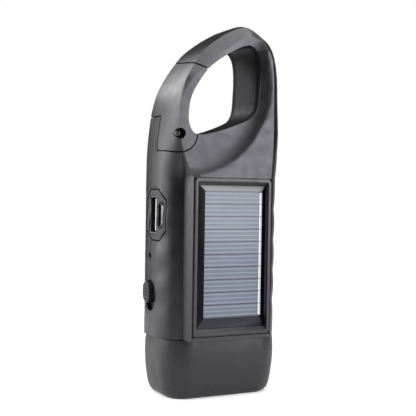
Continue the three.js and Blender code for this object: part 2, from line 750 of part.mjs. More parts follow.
// Port plate on the left side
function plateShape(grow) {
  const low = -plateHalfDepth - grow;
  const high = plateHalfDepth + grow;
  const bottom = plateBottomZ - grow;
  const top = plateTopZ + grow;
  return new THREE.Shape([
    new THREE.Vector2(low, bottom + plateChamfer), new THREE.Vector2(low + plateChamfer, bottom),
    new THREE.Vector2(high - plateChamfer, bottom), new THREE.Vector2(high, bottom + plateChamfer),
    new THREE.Vector2(high, top - plateChamfer), new THREE.Vector2(high - plateChamfer, top),
    new THREE.Vector2(low + plateChamfer, top), new THREE.Vector2(low, top - plateChamfer)]);
}

function portCutter(y, halfThickness, halfHeight, round) {
  const shape = roundedRectangle(
    y - halfThickness, y + halfThickness, usbaZ - halfHeight, usbaZ + halfHeight, round);
  return alongX(shape, -bodyHalfWidth - overrun, plateInnerX + overrun, 3);
}

function portPlate(outer) {
  const slab = alongX(plateShape(0), -bodyHalfWidth - overrun, plateInnerX);
  const gapA = seam + usbaThickness / 2;
  const gapC = seam + usbcThickness / 2;
  return outer.intersect(slab)
    .subtract(portCutter(usbaY, gapA, usbaHeight / 2 + seam, socketWall))
    .subtract(portCutter(usbcY, gapC, usbcHeight / 2 + seam, gapC - seam));
}

function socket(y, thickness, height, length, round, tongueThickness, tongueY) {
  const startX = -bodyHalfWidth + socketRecess;
  const endX = startX + length;
  const half = thickness / 2;
  const shell = alongX(roundedRectangle(
    y - half, y + half, usbaZ - height / 2, usbaZ + height / 2, round), startX, endX, 3);
  const innerHalf = half - socketWall;
  const innerTall = height / 2 - socketWall;
  const inner = alongX(roundedRectangle(
    y - innerHalf, y + innerHalf, usbaZ - innerTall, usbaZ + innerTall, round * innerHalf / half),
  startX - overrun, endX - 2 * socketWall, 3);
  const tongueHalf = height / 2 - 2.5 * socketWall;
  const tongue = box(
    startX + 2 * socketWall, endX, tongueY - tongueThickness / 2, tongueY + tongueThickness / 2,
    usbaZ - tongueHalf, usbaZ + tongueHalf);
  return shell.subtract(inner).add(tongue);
}

const usbaTongue = 1.8;
const usbcTongue = 0.7;
const usbaTongueShift = 0.8;

function usbaSocket() {
  const tongueY = usbaY - usbaTongueShift;
  return socket(usbaY, usbaThickness, usbaHeight, usbaLength, socketWall, usbaTongue, tongueY);
}

function usbcSocket() {
  return socket(usbcY, usbcThickness, usbcHeight, usbcLength, usbcThickness / 2.2, usbcTongue, usbcY);
}

// Electronics
const boardBackY = -1.55;
const boardFrontY = -2.1;
const boardInset = 2.9;
const boardLeftX = -bodyHalfWidth + boardInset;
const boardColumnWidth = 4.3;
const boardColumnX = boardLeftX + boardColumnWidth;
const boardTongueWidth = 7.1;
const boardTongueX = boardLeftX + boardTongueWidth;
const boardEndInset = 7.5;
const boardTopInset = 3;
const boardStepInset = 19.4;
const boardBottomZ = bodyBottomZ + boardEndInset;
const boardTopZ = shoulderZ - boardTopInset;
const boardStepZ = shoulderZ - boardStepInset;

function mainBoard() {
  const shape = new THREE.Shape([
    new THREE.Vector2(boardLeftX, boardBottomZ), new THREE.Vector2(boardColumnX, boardBottomZ),
    new THREE.Vector2(boardColumnX, boardStepZ), new THREE.Vector2(boardTongueX, boardStepZ),
    new THREE.Vector2(boardTongueX, boardTopZ), new THREE.Vector2(boardLeftX, boardTopZ)]);
  return alongY(shape, boardFrontY, boardBackY);
}

const batterySideInset = 1.3;
const batteryEndInset = 4.2;
const batteryHalfWidth = panelHalfWidth - batterySideInset;
const batteryHalfHeight = panelHalfHeight - batteryEndInset;
const batteryThickness = 3.9;
const batteryPocketY = -11.6;

function battery() {
  const frontY = batteryPocketY + clearance;
  const shape = roundedRectangle(-batteryHalfWidth, batteryHalfWidth,
    panelCentreZ - batteryHalfHeight, panelCentreZ + batteryHalfHeight, wall);
  return alongY(shape, frontY, frontY + batteryThickness, 4);
}

// Slide switch
const sliderFlangeInset = 2.1;
const sliderFlangeX = -bodyHalfWidth + sliderFlangeInset;
const sliderFlangeThickness = 0.8;
const sliderFlangeMargin = 1;
const switchBodyInset = 3.2;
const switchBodyStartX = -bodyHalfWidth + switchBodyInset;
const switchBodyThickness = 3.5;
const switchBodyEndX = switchBodyStartX + switchBodyThickness;
const switchBodyHalfHeight = 6.6;
const switchBodyBackY = 6.4;

function switchSlot() {
  const half = slotDepth / 2;
  const shape = roundedRectangle(partingY - half, partingY + half, switchZ - slotHeight / 2,
    switchZ + slotHeight / 2, half - seam);
  return alongX(shape, -bodyHalfWidth - overrun, sliderFlangeX);
}

// Pad of the switch, with its corners rounded towards the finger, set at the upper end of its travel
function switchSlider() {
  const centreZ = switchZ + switchTravel / 2;
  const ring = (x, inset) => {
    const shape = roundedRectangle(partingY - knobDepth / 2 + inset, partingY + knobDepth / 2 - inset,
      centreZ - knobHeight / 2 + inset, centreZ + knobHeight / 2 - inset, knobDepth / 2 - inset - seam);
    return shape.getSpacedPoints(32).slice(0, -1).map((p) => new THREE.Vector3(x, p.x, p.y));
  };
  const faceX = -bodyHalfWidth - switchProud;
  const roundIn = switchProud / 2;
  const pad = loft([
    ring(sliderFlangeX + sliderFlangeThickness / 2, 0), ring(faceX + roundIn, 0),
    ring(faceX + roundIn / 4, roundIn / 3), ring(faceX, roundIn)]);
  const halfDepth = knobDepth / 2 + sliderFlangeMargin;
  const halfHeight = knobHeight / 2 + 2 * sliderFlangeMargin;
  const flange = box(sliderFlangeX, sliderFlangeX + sliderFlangeThickness, partingY - halfDepth,
    partingY + halfDepth, centreZ - halfHeight, centreZ + halfHeight);
  return joined(pad, flange);
}

function switchBody() {
  return box(switchBodyStartX, switchBodyEndX, boardBackY + seam / 2, switchBodyBackY,
    switchZ - switchBodyHalfHeight, switchZ + switchBodyHalfHeight);
}

// Indicator light on the parting line
const indicatorLensInset = 4.4;
const indicatorLensEndX = -bodyHalfWidth + indicatorLensInset;
const indicatorLedLength = 2;
const indicatorLedEndX = indicatorLensEndX + indicatorLedLength;
const indicatorLedHalf = 1.2;

function indicatorLens() {
  return rodX(indicatorRadius, partingY, indicatorZ, -bodyHalfWidth + gripDepth, indicatorLensEndX, 16);
}

function indicatorLed() {
  return box(indicatorLensEndX + seam, indicatorLedEndX, boardBackY + seam / 2, partingY + indicatorLedHalf,
    indicatorZ - indicatorLedHalf, indicatorZ + indicatorLedHalf);
}

// Cavity of the housing
function cavity() {
  const halfWidth = bodyHalfWidth - 1.1 * wall;
  const frontY = bodyFrontY + wall;
  const backY = bodyBackY - wall;
  const level = (z, side, back) => planRing(
    z, halfWidth - side, frontY, backY - back, cavityFrontRound, cavityBackRound);
  const main = loft([
    level(bodyBottomZ + wall, 0, 0), level(cavitySlopeZ, 0, 0),
    level(cavityTopZ, cavitySlopeDrop / 2, cavitySlopeDrop)]);
  const mouth = loft([neckBottomZ - overrun, bodyBottomZ + wall + overrun].map((z) => planRing(
    z, neckHalfWidth - wall, neckFrontY + wall, neckBackY - wall, neckRound - wall, neckRound - wall)));
  const half = batteryHalfWidth + clearance;
  const tall = batteryHalfHeight + clearance;
  const pocket = alongY(roundedRectangle(-half, half, panelCentreZ - tall, panelCentreZ + tall, wall),
    batteryPocketY, frontY + overrun, 4);
  return joined(main, mouth, pocket);
}

// Seat of the solar panel and its frame
function panelSeat() {
  const frameBackY = platformFrontY - frameProud + frameThickness;
  const centre = (halfWidth, halfHeight, round) => roundedRectangle(
    -halfWidth, halfWidth, panelCentreZ - halfHeight, panelCentreZ + halfHeight, round);
  const forFrame = alongY(centre(frameHalfWidth + seam, frameHalfHeight + seam, frameRound),
    platformFrontY - overrun, frameBackY + seam, 4);
  const forPanel = alongY(centre(panelHalfWidth + seam, panelHalfHeight + seam, frameRound / 2),
    frameBackY, frameBackY + panelThickness + 2 * seam, 4);
  return joined(forFrame, forPanel);
}

function solarFrame() {
  const frontY = platformFrontY - frameProud;
  const backY = frontY + frameThickness;
  const outline = alongY(roundedRectangle(-frameHalfWidth, frameHalfWidth,
    panelCentreZ - frameHalfHeight, panelCentreZ + frameHalfHeight, frameRound), frontY, backY, 4);
  const ring = (y, inset) => {
    const halfWidth = frameHalfWidth - inset;
    const halfHeight = frameHalfHeight - inset + frameFlat - frameEndFlat;
    return [[1, -1], [1, 1], [-1, 1], [-1, -1]].map(([u, v]) => new THREE.Vector3(
      u * halfWidth, y, panelCentreZ + v * halfHeight));
  };
  const bevelY = frontY + frameBevelDepth;
  const inner = frameFlat + frameBevel;
  const slope = frameBevel / frameBevelDepth;
  const window = loft([
    ring(frontY - overrun, frameFlat - overrun * slope), ring(bevelY, inner), ring(backY + overrun, inner)]);
  return outline.subtract(window);
}

function solarPanel() {
  const frontY = platformFrontY - frameProud + frameThickness + seam;
  const outline = roundedRectangle(-panelHalfWidth, panelHalfWidth,
    panelCentreZ - panelHalfHeight, panelCentreZ + panelHalfHeight, frameRound / 4);
  return alongY(outline, frontY, frontY + panelThickness, 2);
}

// Gears
function gearGeometry(teeth) {
  const pitchRadius = gearModule * teeth / 2;
  const tipRadius = pitchRadius + 0.9 * gearModule;
  const rootRadius = pitchRadius - 1.2 * gearModule;
  return { pitchRadius, tipRadius, rootRadius };
}

// Half angle of a tooth at a radius, from the involute of a 20 degree pressure angle
function toothHalfAngle(teeth, radius) {
  const pressure = THREE.MathUtils.degToRad(20);
  const involute = (angle) => Math.tan(angle) - angle;
  const { pitchRadius } = gearGeometry(teeth);
  const baseRadius = pitchRadius * Math.cos(pressure);
  const angle = Math.acos(Math.min(1, baseRadius / Math.max(radius, baseRadius)));
  const pitchHalf = Math.PI / (2 * teeth) - toothPlay / (2 * pitchRadius);
  return pitchHalf + involute(pressure) - involute(angle);
}

function gearShape(teeth, turn, holeRadius) {
  const { pitchRadius, tipRadius, rootRadius } = gearGeometry(teeth);
  const points = [];
  const put = (radius, angle) => {
    points.push(new THREE.Vector2(radius * Math.sin(angle), radius * Math.cos(angle)));
  };
  for (let i = 0; i < teeth; i++) {
    const middle = turn + (i / teeth) * 2 * Math.PI;
    const radii = teeth > wheelTeeth / 2 ? [rootRadius, tipRadius] : [rootRadius, pitchRadius, tipRadius];
    const halves = radii.map((radius) => toothHalfAngle(teeth, radius));
    radii.forEach((radius, k) => put(radius, middle - halves[k]));
    [...radii].reverse().forEach((radius, k) => put(radius, middle + halves[radii.length - 1 - k]));
  }
  const shape = new THREE.Shape(points);
  if (holeRadius > 0) shape.holes.push(new THREE.Path().absarc(0, 0, holeRadius, 0, 2 * Math.PI));
  return shape;
}

function gear(teeth, turn, holeRadius, frontY, x, z) {
  const shape = gearShape(teeth, turn, holeRadius);
  const body = alongY(shape, frontY, frontY + gearThickness, 6);
  return body.translate([x, 0, z]);
}

// Axle of the middle gears: it lies where both centre distances meet, on the left of the line
function middleAxle() {
  const across = new THREE.Vector2(rotorX, rotorZ - crankZ);
  const span = across.length();
  const along = (crankReach ** 2 - rotorReach ** 2 + span ** 2) / (2 * span);
  const aside = Math.sqrt(crankReach ** 2 - along ** 2);
  const unit = across.clone().divideScalar(span);
  return new THREE.Vector2(unit.x * along - unit.y * aside, crankZ + unit.y * along + unit.x * aside);
}

const middle = middleAxle();

// Turn that puts a gap of the driven gear on a tooth of the driving gear, both at rest
function meshTurn(drivingTurn, drivingTeeth, drivenTeeth, from, to) {
  const direction = Math.atan2(to.x - from.x, to.y - from.y);
  const phase = ((direction - drivingTurn) * drivingTeeth) / (2 * Math.PI);
  return direction + Math.PI + ((phase + 0.5) * 2 * Math.PI) / drivenTeeth;
}

const crankCentre = new THREE.Vector2(0, crankZ);
const rotorCentre = new THREE.Vector2(rotorX, rotorZ);
const pinionTurn = meshTurn(0, crankTeeth, pinionTeeth, crankCentre, middle);
const rotorTurn = meshTurn(0, wheelTeeth, rotorTeeth, middle, rotorCentre);

function crankGear() {
  return gear(crankTeeth, 0, shaftRadius + seam / 2, crankGearY, 0, crankZ);
}

function middleGear() {
  const bore = axleRadius + seam / 2;
  const wheel = gear(wheelTeeth, 0, bore, wheelY, middle.x, middle.y);
  const pinion = gear(pinionTeeth, pinionTurn, bore, crankGearY, middle.x, middle.y);
  const { rootRadius } = gearGeometry(pinionTeeth);
  const startY = wheelY + gearThickness / 2;
  const spacer = rodY(rootRadius, middle.x, middle.y, startY, crankGearY + gearThickness / 2);
  const spacerBore = rodY(bore, middle.x, middle.y, wheelY, crankGearY + gearThickness);
  return joined(wheel, pinion, spacer.subtract(spacerBore));
}

function rotorPinion() {
  return gear(rotorTeeth, rotorTurn, axleRadius + seam / 2, wheelY, rotorX, rotorZ);
}

function middleAxlePin() {
  const startY = plateBackY - gearPlateThickness;
  return rodY(axleRadius, middle.x, middle.y, startY, crankGearY + gearThickness + axleTail);
}

function rotor() {
  const endY = statorY + statorLength;
  const magnet = rodY(rotorRadius, rotorX, rotorZ, statorY - clearance, endY + clearance, roundSteps);
  const shaft = rodY(axleRadius, rotorX, rotorZ, plateBackY - gearPlateThickness, endY + 2 * axleRadius);
  return joined(magnet, shaft);
}

const poleCount = 8;
const poleHalfShare = 0.32;
const yokeThickness = 1.6;
const coilThickness = 1.6;

// Iron core: a round yoke with poles that reach in to the magnet
function statorCore() {
  const ringPoint = (radius, angle) => new THREE.Vector2(radius * Math.cos(angle), radius * Math.sin(angle));
  const yokeRadius = statorRadius - yokeThickness;
  const pitch = 2 * Math.PI / poleCount;
  const half = pitch * poleHalfShare;
  const rim = Array.from(
    { length: roundSteps }, (_, i) => ringPoint(statorRadius, (i / roundSteps) * 2 * Math.PI));
  const inner = Array.from({ length: poleCount }, (_, i) => [
    ...[-half, 0, half].map((turn) => ringPoint(statorBore, i * pitch + turn)),
    ...[half, pitch / 2, pitch - half].map((turn) => ringPoint(yokeRadius, i * pitch + turn)),
  ]).flat();
  const shape = new THREE.Shape(rim);
  shape.holes.push(new THREE.Path(inner));
  return alongY(shape, statorY, statorY + statorLength).translate([rotorX, 0, rotorZ]);
}

function statorCoil() {
  const frontY = statorY - seam - coilThickness;
  const inner = rotorRadius + clearance + seam;
  const outer = statorRadius - seam;
  return turnedY([[inner, frontY], [outer, frontY], [outer, statorY - seam], [inner, statorY - seam],
    [inner, frontY]], rotorX, rotorZ, roundSteps);
}

const gearPlateInset = 9.5;
const gearPlateHalfWidth = bodyHalfWidth - gearPlateInset;
const gearPlateDrop = 12;
const gearPlateRise = 3;
const gearPlateBottomZ = crankZ - gearPlateDrop;
const gearPlateTopZ = shoulderZ + gearPlateRise;
const gearPlateRound = 3;

function gearPlate() {
  const outline = roundedRectangle(
    -gearPlateHalfWidth, gearPlateHalfWidth, gearPlateBottomZ, gearPlateTopZ, gearPlateRound);
  const play = seam;
  for (const [u, v, radius] of [[0, crankZ, shaftRadius], [middle.x, middle.y, axleRadius],
    [rotorX, rotorZ, axleRadius]]) {
    outline.holes.push(new THREE.Path().absarc(u, v, radius + play, 0, 2 * Math.PI));
  }
  return alongY(outline, plateBackY - gearPlateThickness, plateBackY, 6);
}

// Posts of the front half that carry the gear plate
const postRadius = 1.8;

function gearPlatePosts() {
  const inset = gearPlateRound;
  const startY = bodyFrontY + wall / 2;
  const endY = plateBackY - gearPlateThickness - seam;
  const places = [[-1, gearPlateTopZ - inset], [1, gearPlateTopZ - inset]];
  const postX = gearPlateHalfWidth - inset;
  return places.map(([side, z]) => rodY(postRadius, side * postX, z, startY, endY, 16));
}

// Crank turntable with the slot for the folded arm, the pocket for its knob, and the shaft
function discFaceY() {
  return bodyBackY + discProud;
}

function crankDisc() {
  const faceY = discFaceY();
  const edge = discProud;
  const shaftEndY = plateBackY - gearPlateThickness;
  const hubEndY = crankGearY + gearThickness + seam;
  const plate = turnedY([
    [0, discFloorY], [discRootRadius, discFloorY], [discRootRadius, discSeatY - 2 * clearance - seam],
    [discNeckRadius, discSeatY - 2 * clearance - seam], [discNeckRadius, discSeatY + seam],
    [discRadius, discSeatY + seam], [discRadius, faceY - edge], [discRadius - edge, faceY], [0, faceY]],
  0, crankZ, wideRoundSteps);
  const knobZ = crankZ + hingeReach - knobReach;
  const pocketFloorY = faceY - armThickness - knobLength - 2 * clearance;
  const cup = rodY(
    pocketRadius + pocketWall, 0, knobZ, pocketFloorY - pocketWall, discFloorY + overrun, roundSteps);
  const hub = rodY(hubRadius, 0, crankZ, hubEndY, discFloorY + overrun);
  const shaft = rodY(shaftRadius, 0, crankZ, shaftEndY, hubEndY + overrun);
  const hingeZ = crankZ + hingeReach;
  const earEnd = barrelHalfWidth + clearance + earThickness;
  const ears = joined(
    rodX(barrelRadius, hingeY, hingeZ, -earEnd, earEnd),
    box(-earEnd, earEnd, faceY - overrun, hingeY, hingeZ - barrelRadius, hingeZ + barrelRadius));
  const slotHalf = armHalfWidth + clearance;
  const slotFloorY = faceY - armThickness - clearance;
  const armSlot = box(-slotHalf, slotHalf, slotFloorY, hingeY + barrelRadius + overrun,
    crankZ - discRadius - overrun, hingeZ - barrelRadius - clearance);
  const barrelSlotHalf = barrelHalfWidth + clearance;
  const barrelSlot = joined(
    rodX(barrelRadius + clearance, hingeY, hingeZ, -barrelSlotHalf, barrelSlotHalf),
    box(-barrelSlotHalf, barrelSlotHalf, slotFloorY, hingeY, hingeZ - barrelRadius - 2 * clearance, hingeZ),
    box(-barrelSlotHalf, barrelSlotHalf,
      hingeY - barrelRadius - clearance, hingeY + barrelRadius + overrun,
      hingeZ - barrelRadius - clearance, hingeZ + barrelRadius + clearance));
  const pocket = rodY(pocketRadius, 0, knobZ, pocketFloorY, faceY + overrun, roundSteps);
  const pinReach = earEnd + overrun;
  const pinHole = rodX(hingePinRadius + seam / 2, hingeY, hingeZ, -pinReach, pinReach, 16);
  return joined(plate, cup, hub, ears).subtract(joined(armSlot, barrelSlot, pocket, pinHole)).add(shaft);
}

// Ring under the back wall that keeps the turntable in its seat
const retainerThickness = 1.2;
const retainerMargin = 0.4;
const retainerRadius = discRadius + retainerMargin;

function discRetainer() {
  const backY = bodyBackY - wall - clearance;
  const inner = discRootRadius + seam;
  const frontY = backY - retainerThickness;
  const profile = [[inner, frontY], [retainerRadius, frontY], [retainerRadius, backY], [inner, backY]];
  return turnedY([...profile, profile[0]], 0, crankZ, wideRoundSteps);
}

function discSeat() {
  const outY = bodyBackY + overrun;
  const hole = rodY(discNeckRadius + clearance, 0, crankZ, discFloorY, outY, wideRoundSteps);
  return joined(hole, rodY(discRadius + clearance, 0, crankZ, discSeatY, outY, wideRoundSteps));
}

function crankArm() {
  const faceY = discFaceY();
  const backY = faceY - armThickness;
  const hingeZ = crankZ + hingeReach;
  const knobZ = hingeZ - knobReach;
  const topZ = hingeZ - barrelRadius - 2 * clearance;
  const shape = new THREE.Shape();
  shape.moveTo(armHalfWidth, topZ);
  shape.lineTo(armHalfWidth, knobZ);
  shape.absarc(0, knobZ, armHalfWidth, 0, -Math.PI, true);
  shape.lineTo(-armHalfWidth, topZ);
  const bar = alongY(shape, backY, faceY, 12);
  const neck = box(-barrelHalfWidth, barrelHalfWidth, backY + clearance, hingeY,
    topZ - overrun, hingeZ - hingePinRadius);
  const barrel = rodX(barrelRadius, hingeY, hingeZ, -barrelHalfWidth, barrelHalfWidth);
  const rib = armHalfWidth / 2;
  const grooveShape = roundedRectangle(
    -rib, rib, knobZ + armHalfWidth + overrun, topZ - 2 * overrun, rib - seam);
  const thumbGroove = alongY(grooveShape, faceY - armThickness / 4, faceY + overrun, 6);
  const pinHole = rodX(hingePinRadius + seam / 2, hingeY, hingeZ, -2 * armHalfWidth, 2 * armHalfWidth, 16);
  const post = knobPostHole(seam / 2);
  return joined(bar, neck, barrel).subtract(joined(thumbGroove, pinHole, post));
}

const postHeadRadius = 2.6;
const postHeadThickness = 0.9;
const postRodRadius = 1.5;
const postEndRadius = 2.2;
const postEndThickness = 0.8;

function knobPostHole(play) {
  const faceY = discFaceY();
  const knobZ = crankZ + hingeReach - knobReach;
  const seatY = faceY - postHeadThickness - seam - play;
  return joined(
    rodY(postHeadRadius + play, 0, knobZ, seatY, faceY + overrun),
    rodY(postRodRadius + play, 0, knobZ, faceY - armThickness - overrun, seatY + overrun));
}

function knobPost() {
  const topY = discFaceY() - seam;
  const endY = discFaceY() - armThickness - clearance - knobLength + postEndThickness;
  const knobZ = crankZ + hingeReach - knobReach;
  return turnedY([
    [0, endY - postEndThickness + seam], [postEndRadius, endY - postEndThickness + seam],
    [postEndRadius, endY], [postRodRadius, endY], [postRodRadius, topY - postHeadThickness],
    [postHeadRadius, topY - postHeadThickness], [postHeadRadius, topY], [0, topY]],
  0, knobZ, smallRoundSteps);
}

function crankKnob() {
  const rootY = discFaceY() - armThickness - clearance;
  const tipY = rootY - knobLength;
  const knobZ = crankZ + hingeReach - knobReach;
  const play = 1.5 * seam;
  const bore = postRodRadius + play;
  const end = postEndRadius + play;
  const roundIn = 0.8;
  const seatY = tipY + postEndThickness + 2 * seam;
  return turnedY([
    [end, tipY], [knobTipRadius - roundIn / 4, tipY], [knobTipRadius, tipY + roundIn],
    [(knobTipRadius + knobRootRadius) / 2 - roundIn / 2, rootY - knobLength / 2],
    [knobRootRadius, rootY - roundIn], [knobRootRadius - roundIn, rootY], [bore, rootY], [bore, seatY],
    [end, seatY], [end, tipY]], 0, knobZ, smallRoundSteps);
}

function hingePin() {
  const hingeZ = crankZ + hingeReach;
  const end = barrelHalfWidth + clearance + earThickness;
  return rodX(hingePinRadius, hingeY, hingeZ, -end, end, 16);
}

// Head: cap, lens, reflector and lamps
const capEdgeInset = 4;
const capInsetShares = [
  [1, 0.09], [0.9, 0.02], [0.72, 0], [0.5, 0.06], [0.3, 0.19], [0.16, 0.33], [0.07, 0.53], [0.02, 0.78],
  [0, 1],
];
const capTopZ = bodyBottomZ - seam;

function headCap() {
  const rings = capInsetShares.map(([height, share]) => {
    const inset = share * capEdgeInset;
    return planRing(height * capTopZ, capHalfWidth - inset, capFrontY + inset, capBackY - inset,
      capFrontRound - inset, capBackRound - inset);
  });
  const outer = loft(rings);
  const inner = loft([capFloor, capTopZ + overrun].map((z) => planRing(z, capHalfWidth - capWall,
    capFrontY + capWall + seam, capBackY - capWall, neckRound + clearance, neckRound + clearance)));
  const half = lensHalfWidth - lensLip;
  const deep = lensHalfDepth - lensLip;
  const windowRing = ([z, flare]) => planRing(
    z, half + flare, -deep - flare, deep + flare, lensRound + flare, lensRound + flare);
  const window = loft([[-overrun, lensFlare], [capFloor / 2, 0], [capFloor + overrun, 0]].map(windowRing));
  return outer.subtract(joined(inner, window));
}

function lens() {
  const lowZ = capFloor + seam / 2;
  return loft([lowZ, lowZ + lensThickness].map((z) => planRing(
    z, lensHalfWidth, -lensHalfDepth, lensHalfDepth, lensRound + lensLip, lensRound + lensLip)));
}

function reflector() {
  const lowZ = capFloor + lensThickness + clearance;
  const block = loft([[lowZ, 0], [lowZ + wall, 0], [reflectorTopZ, wall]].map(([z, inset]) => planRing(
    z, lensHalfWidth - inset, -lensHalfDepth + inset, lensHalfDepth - inset, lensRound, lensRound)));
  const waistShares = [[0.2, 0.86], [0.5, 0.6], [0.8, 0.25]];
  const cups = [-1, 0, 1].map((side) => {
    const curve = waistShares.map(([height, widthShare]) => [
      THREE.MathUtils.lerp(cupNeckRadius, cupMouthRadius, widthShare),
      THREE.MathUtils.lerp(lowZ, reflectorTopZ, height)]);
    return turnedZ([
      [0, lowZ - overrun], [cupMouthRadius, lowZ - overrun], [cupMouthRadius, lowZ], ...curve,
      [cupNeckRadius, reflectorTopZ], [cupNeckRadius, reflectorTopZ + overrun],
      [0, reflectorTopZ + overrun]], side * cupPitch, 0, smallRoundSteps);
  });
  return block.subtract(joined(...cups));
}

const ledBoardZ = 17.4;
const ledBoardThickness = 1.4;
const ledBoardMargin = 0.4;

function ledBoard() {
  const inset = wall + ledBoardMargin;
  return loft([ledBoardZ, ledBoardZ + ledBoardThickness].map((z) => planRing(
    z, neckHalfWidth - inset, neckFrontY + inset, neckBackY - inset, neckRound - wall, neckRound - wall, 4)));
}

function led(side) {
  const topZ = ledBoardZ - seam / 2;
  const tipZ = topZ - ledLength;
  const flange = ledRadius + seam;
  const domeShares = [[0, 0], [0.5, 0.134], [0.87, 0.5], [1, 1]];
  const dome = domeShares.map(([out, up]) => [ledRadius * out, tipZ + ledRadius * up]);
  return turnedZ([...dome, [ledRadius, topZ - overrun], [flange, topZ - overrun], [flange, topZ], [0, topZ]],
    side * cupPitch, 0, smallRoundSteps);
}

// The two halves of the housing
function housing(outer) {
  const cutouts = joined(
    openingCutter(), gateSpace(gateSeam, 0), gatePinHole(gatePinRadius + seam / 2), cavity(),
    panelSeat(),
    alongX(plateShape(plateGap), -bodyHalfWidth - overrun, plateInnerX + overrun), switchSlot(),
    rodX(indicatorRadius + seam, partingY, indicatorZ, -bodyHalfWidth - overrun, boardLeftX, 16));
  return outer.subtract(cutouts);
}

function frontHalf(hollow) {
  const bosses = screws.filter((s) => s.boss).map((s) => rodY(
    screwBossRadius, s.x, s.z, bodyFrontY + wall / 2, partingY - seam / 2));
  const backLimit = box(-2 * bodyHalfWidth, 2 * bodyHalfWidth, 2 * platformFrontY, partingY - seam / 2,
    -overrun, 2 * handleTopZ);
  const whole = joined(hollow.intersect(backLimit), ...bosses, ...gearPlatePosts());
  return whole.subtract(joined(...screws.map(screwHole)));
}

const cradleInner = 8;

function rearHalf(hollow) {
  const backWallY = bodyBackY - wall / 2;
  const bosses = screws.filter((s) => s.boss).map((s) => rodY(
    screwBossRadius, s.x, s.z, partingY + seam / 2, backWallY));
  const cradle = turnedY([[cradleInner, statorY + statorLength + clearance],
    [statorRadius, statorY + statorLength + clearance], [statorRadius, backWallY], [cradleInner, backWallY],
    [cradleInner, statorY + statorLength + clearance]], rotorX, rotorZ, roundSteps)
    .subtract(rodY(retainerRadius + clearance, 0, crankZ, statorY, bodyBackY, wideRoundSteps));
  const frontLimit = box(-2 * bodyHalfWidth, 2 * bodyHalfWidth, partingY + seam / 2, 2 * bodyBackY,
    -overrun, 2 * handleTopZ);
  const whole = joined(hollow.intersect(frontLimit), ...bosses, cradle);
  return whole.subtract(joined(discSeat(), ...screws.map(screwHole)));
}

// Finishes
const finish = (color, roughness, metalness = 0) => ({ color, roughness, metalness });
const blackPlastic = finish(0x3a3a3d, 0.45);
const softBlack = finish(0x2c2c2e, 0.8);
const innerPlastic = finish(0xc9c9c4, 0.5);
const steel = finish(0xb8babd, 0.3, 1);
const brass = finish(0xb08d4a, 0.35, 1);
const board = finish(0x1f5c3a, 0.5);
const solarBlue = finish(0x9aa6b8, 0.2);
const clear = finish(0xe6eef2, 0.08);
const foil = finish(0x8f949c, 0.4, 0.3);
const copper = finish(0xa8603a, 0.4, 0.8);

const outer = outerForm();
const hollow = housing(outer);

const pieces = [
  ['front_shell', frontHalf(hollow), blackPlastic],
  ['rear_shell', rearHalf(hollow), blackPlastic],
  ['solar_frame', solarFrame(), blackPlastic],
  ['solar_panel', solarPanel(), solarBlue],
  ['port_plate', portPlate(outer), blackPlastic],
  ['usb_a_socket', usbaSocket(), steel],
  ['usb_c_socket', usbcSocket(), steel],
  ['main_board', mainBoard(), board],
  ['battery', battery(), foil],
  ['switch_body', switchBody(), steel],
  ['switch_slider', switchSlider(), blackPlastic],
  ['indicator_lens', indicatorLens(), clear],
  ['indicator_led', indicatorLed(), innerPlastic],
  ['carabiner_gate', gateBody(outer), blackPlastic],
  ['gate_pin', gatePin(), steel],
  ['gate_spring', gateSpring(), steel],
  ['gear_plate', gearPlate(), steel],
  ['crank_disc', crankDisc(), blackPlastic],
  ['disc_retainer', discRetainer(), innerPlastic],
  ['crank_gear', crankGear(), innerPlastic],
  ['middle_gear', middleGear(), innerPlastic],
  ['middle_axle', middleAxlePin(), steel],
  ['rotor_pinion', rotorPinion(), brass],
  ['generator_rotor', rotor(), steel],
  ['stator_core', statorCore(), foil],
  ['stator_coil', statorCoil(), copper],
  ['crank_arm', crankArm(), blackPlastic],
  ['hinge_pin', hingePin(), steel],
  ['crank_knob', crankKnob(), softBlack],
  ['knob_post', knobPost(), steel],
  ['head_cap', headCap(), softBlack],
  ['lens', lens(), clear],
  ['reflector', reflector(), steel],
  ['led_board', ledBoard(), board],
  ['led_left', led(-1), clear],
  ['led_middle', led(0), clear],
  ['led_right', led(1), clear],
  ...screws.map((screw) => [screw.name, screwBody(screw), steel]),
];

// The origin is under the middle of the whole part, so the switch's reach is shared between both sides
const part = new THREE.Group();
part.position.x = switchProud / 2;
for (const [name, body, look] of pieces) {
  const mesh = new THREE.Mesh(geometryOf(body), new THREE.MeshStandardMaterial(look));
  mesh.name = name;
  part.add(mesh);
}

export default part;
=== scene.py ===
"""Hand crank flashlight: the looks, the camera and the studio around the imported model."""

import json
import math

import bmesh
import bpy
from mathutils import Matrix, Vector
from mathutils.bvhtree import BVHTree


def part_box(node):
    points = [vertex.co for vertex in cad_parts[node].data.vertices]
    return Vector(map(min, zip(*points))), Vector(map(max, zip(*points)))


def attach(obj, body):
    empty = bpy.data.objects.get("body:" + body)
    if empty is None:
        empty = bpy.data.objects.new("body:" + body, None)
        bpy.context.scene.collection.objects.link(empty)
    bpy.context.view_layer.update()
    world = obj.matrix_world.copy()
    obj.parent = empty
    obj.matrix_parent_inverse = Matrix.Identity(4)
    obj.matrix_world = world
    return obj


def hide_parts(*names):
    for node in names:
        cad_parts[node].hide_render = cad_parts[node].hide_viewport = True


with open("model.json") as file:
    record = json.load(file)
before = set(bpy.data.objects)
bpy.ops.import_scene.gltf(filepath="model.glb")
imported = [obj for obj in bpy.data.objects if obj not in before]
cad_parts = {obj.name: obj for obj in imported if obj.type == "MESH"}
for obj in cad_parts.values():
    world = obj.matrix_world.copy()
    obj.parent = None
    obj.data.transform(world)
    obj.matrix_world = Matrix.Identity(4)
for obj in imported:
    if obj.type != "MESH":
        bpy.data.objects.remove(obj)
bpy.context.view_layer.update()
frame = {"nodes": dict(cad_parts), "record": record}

MM = 0.001
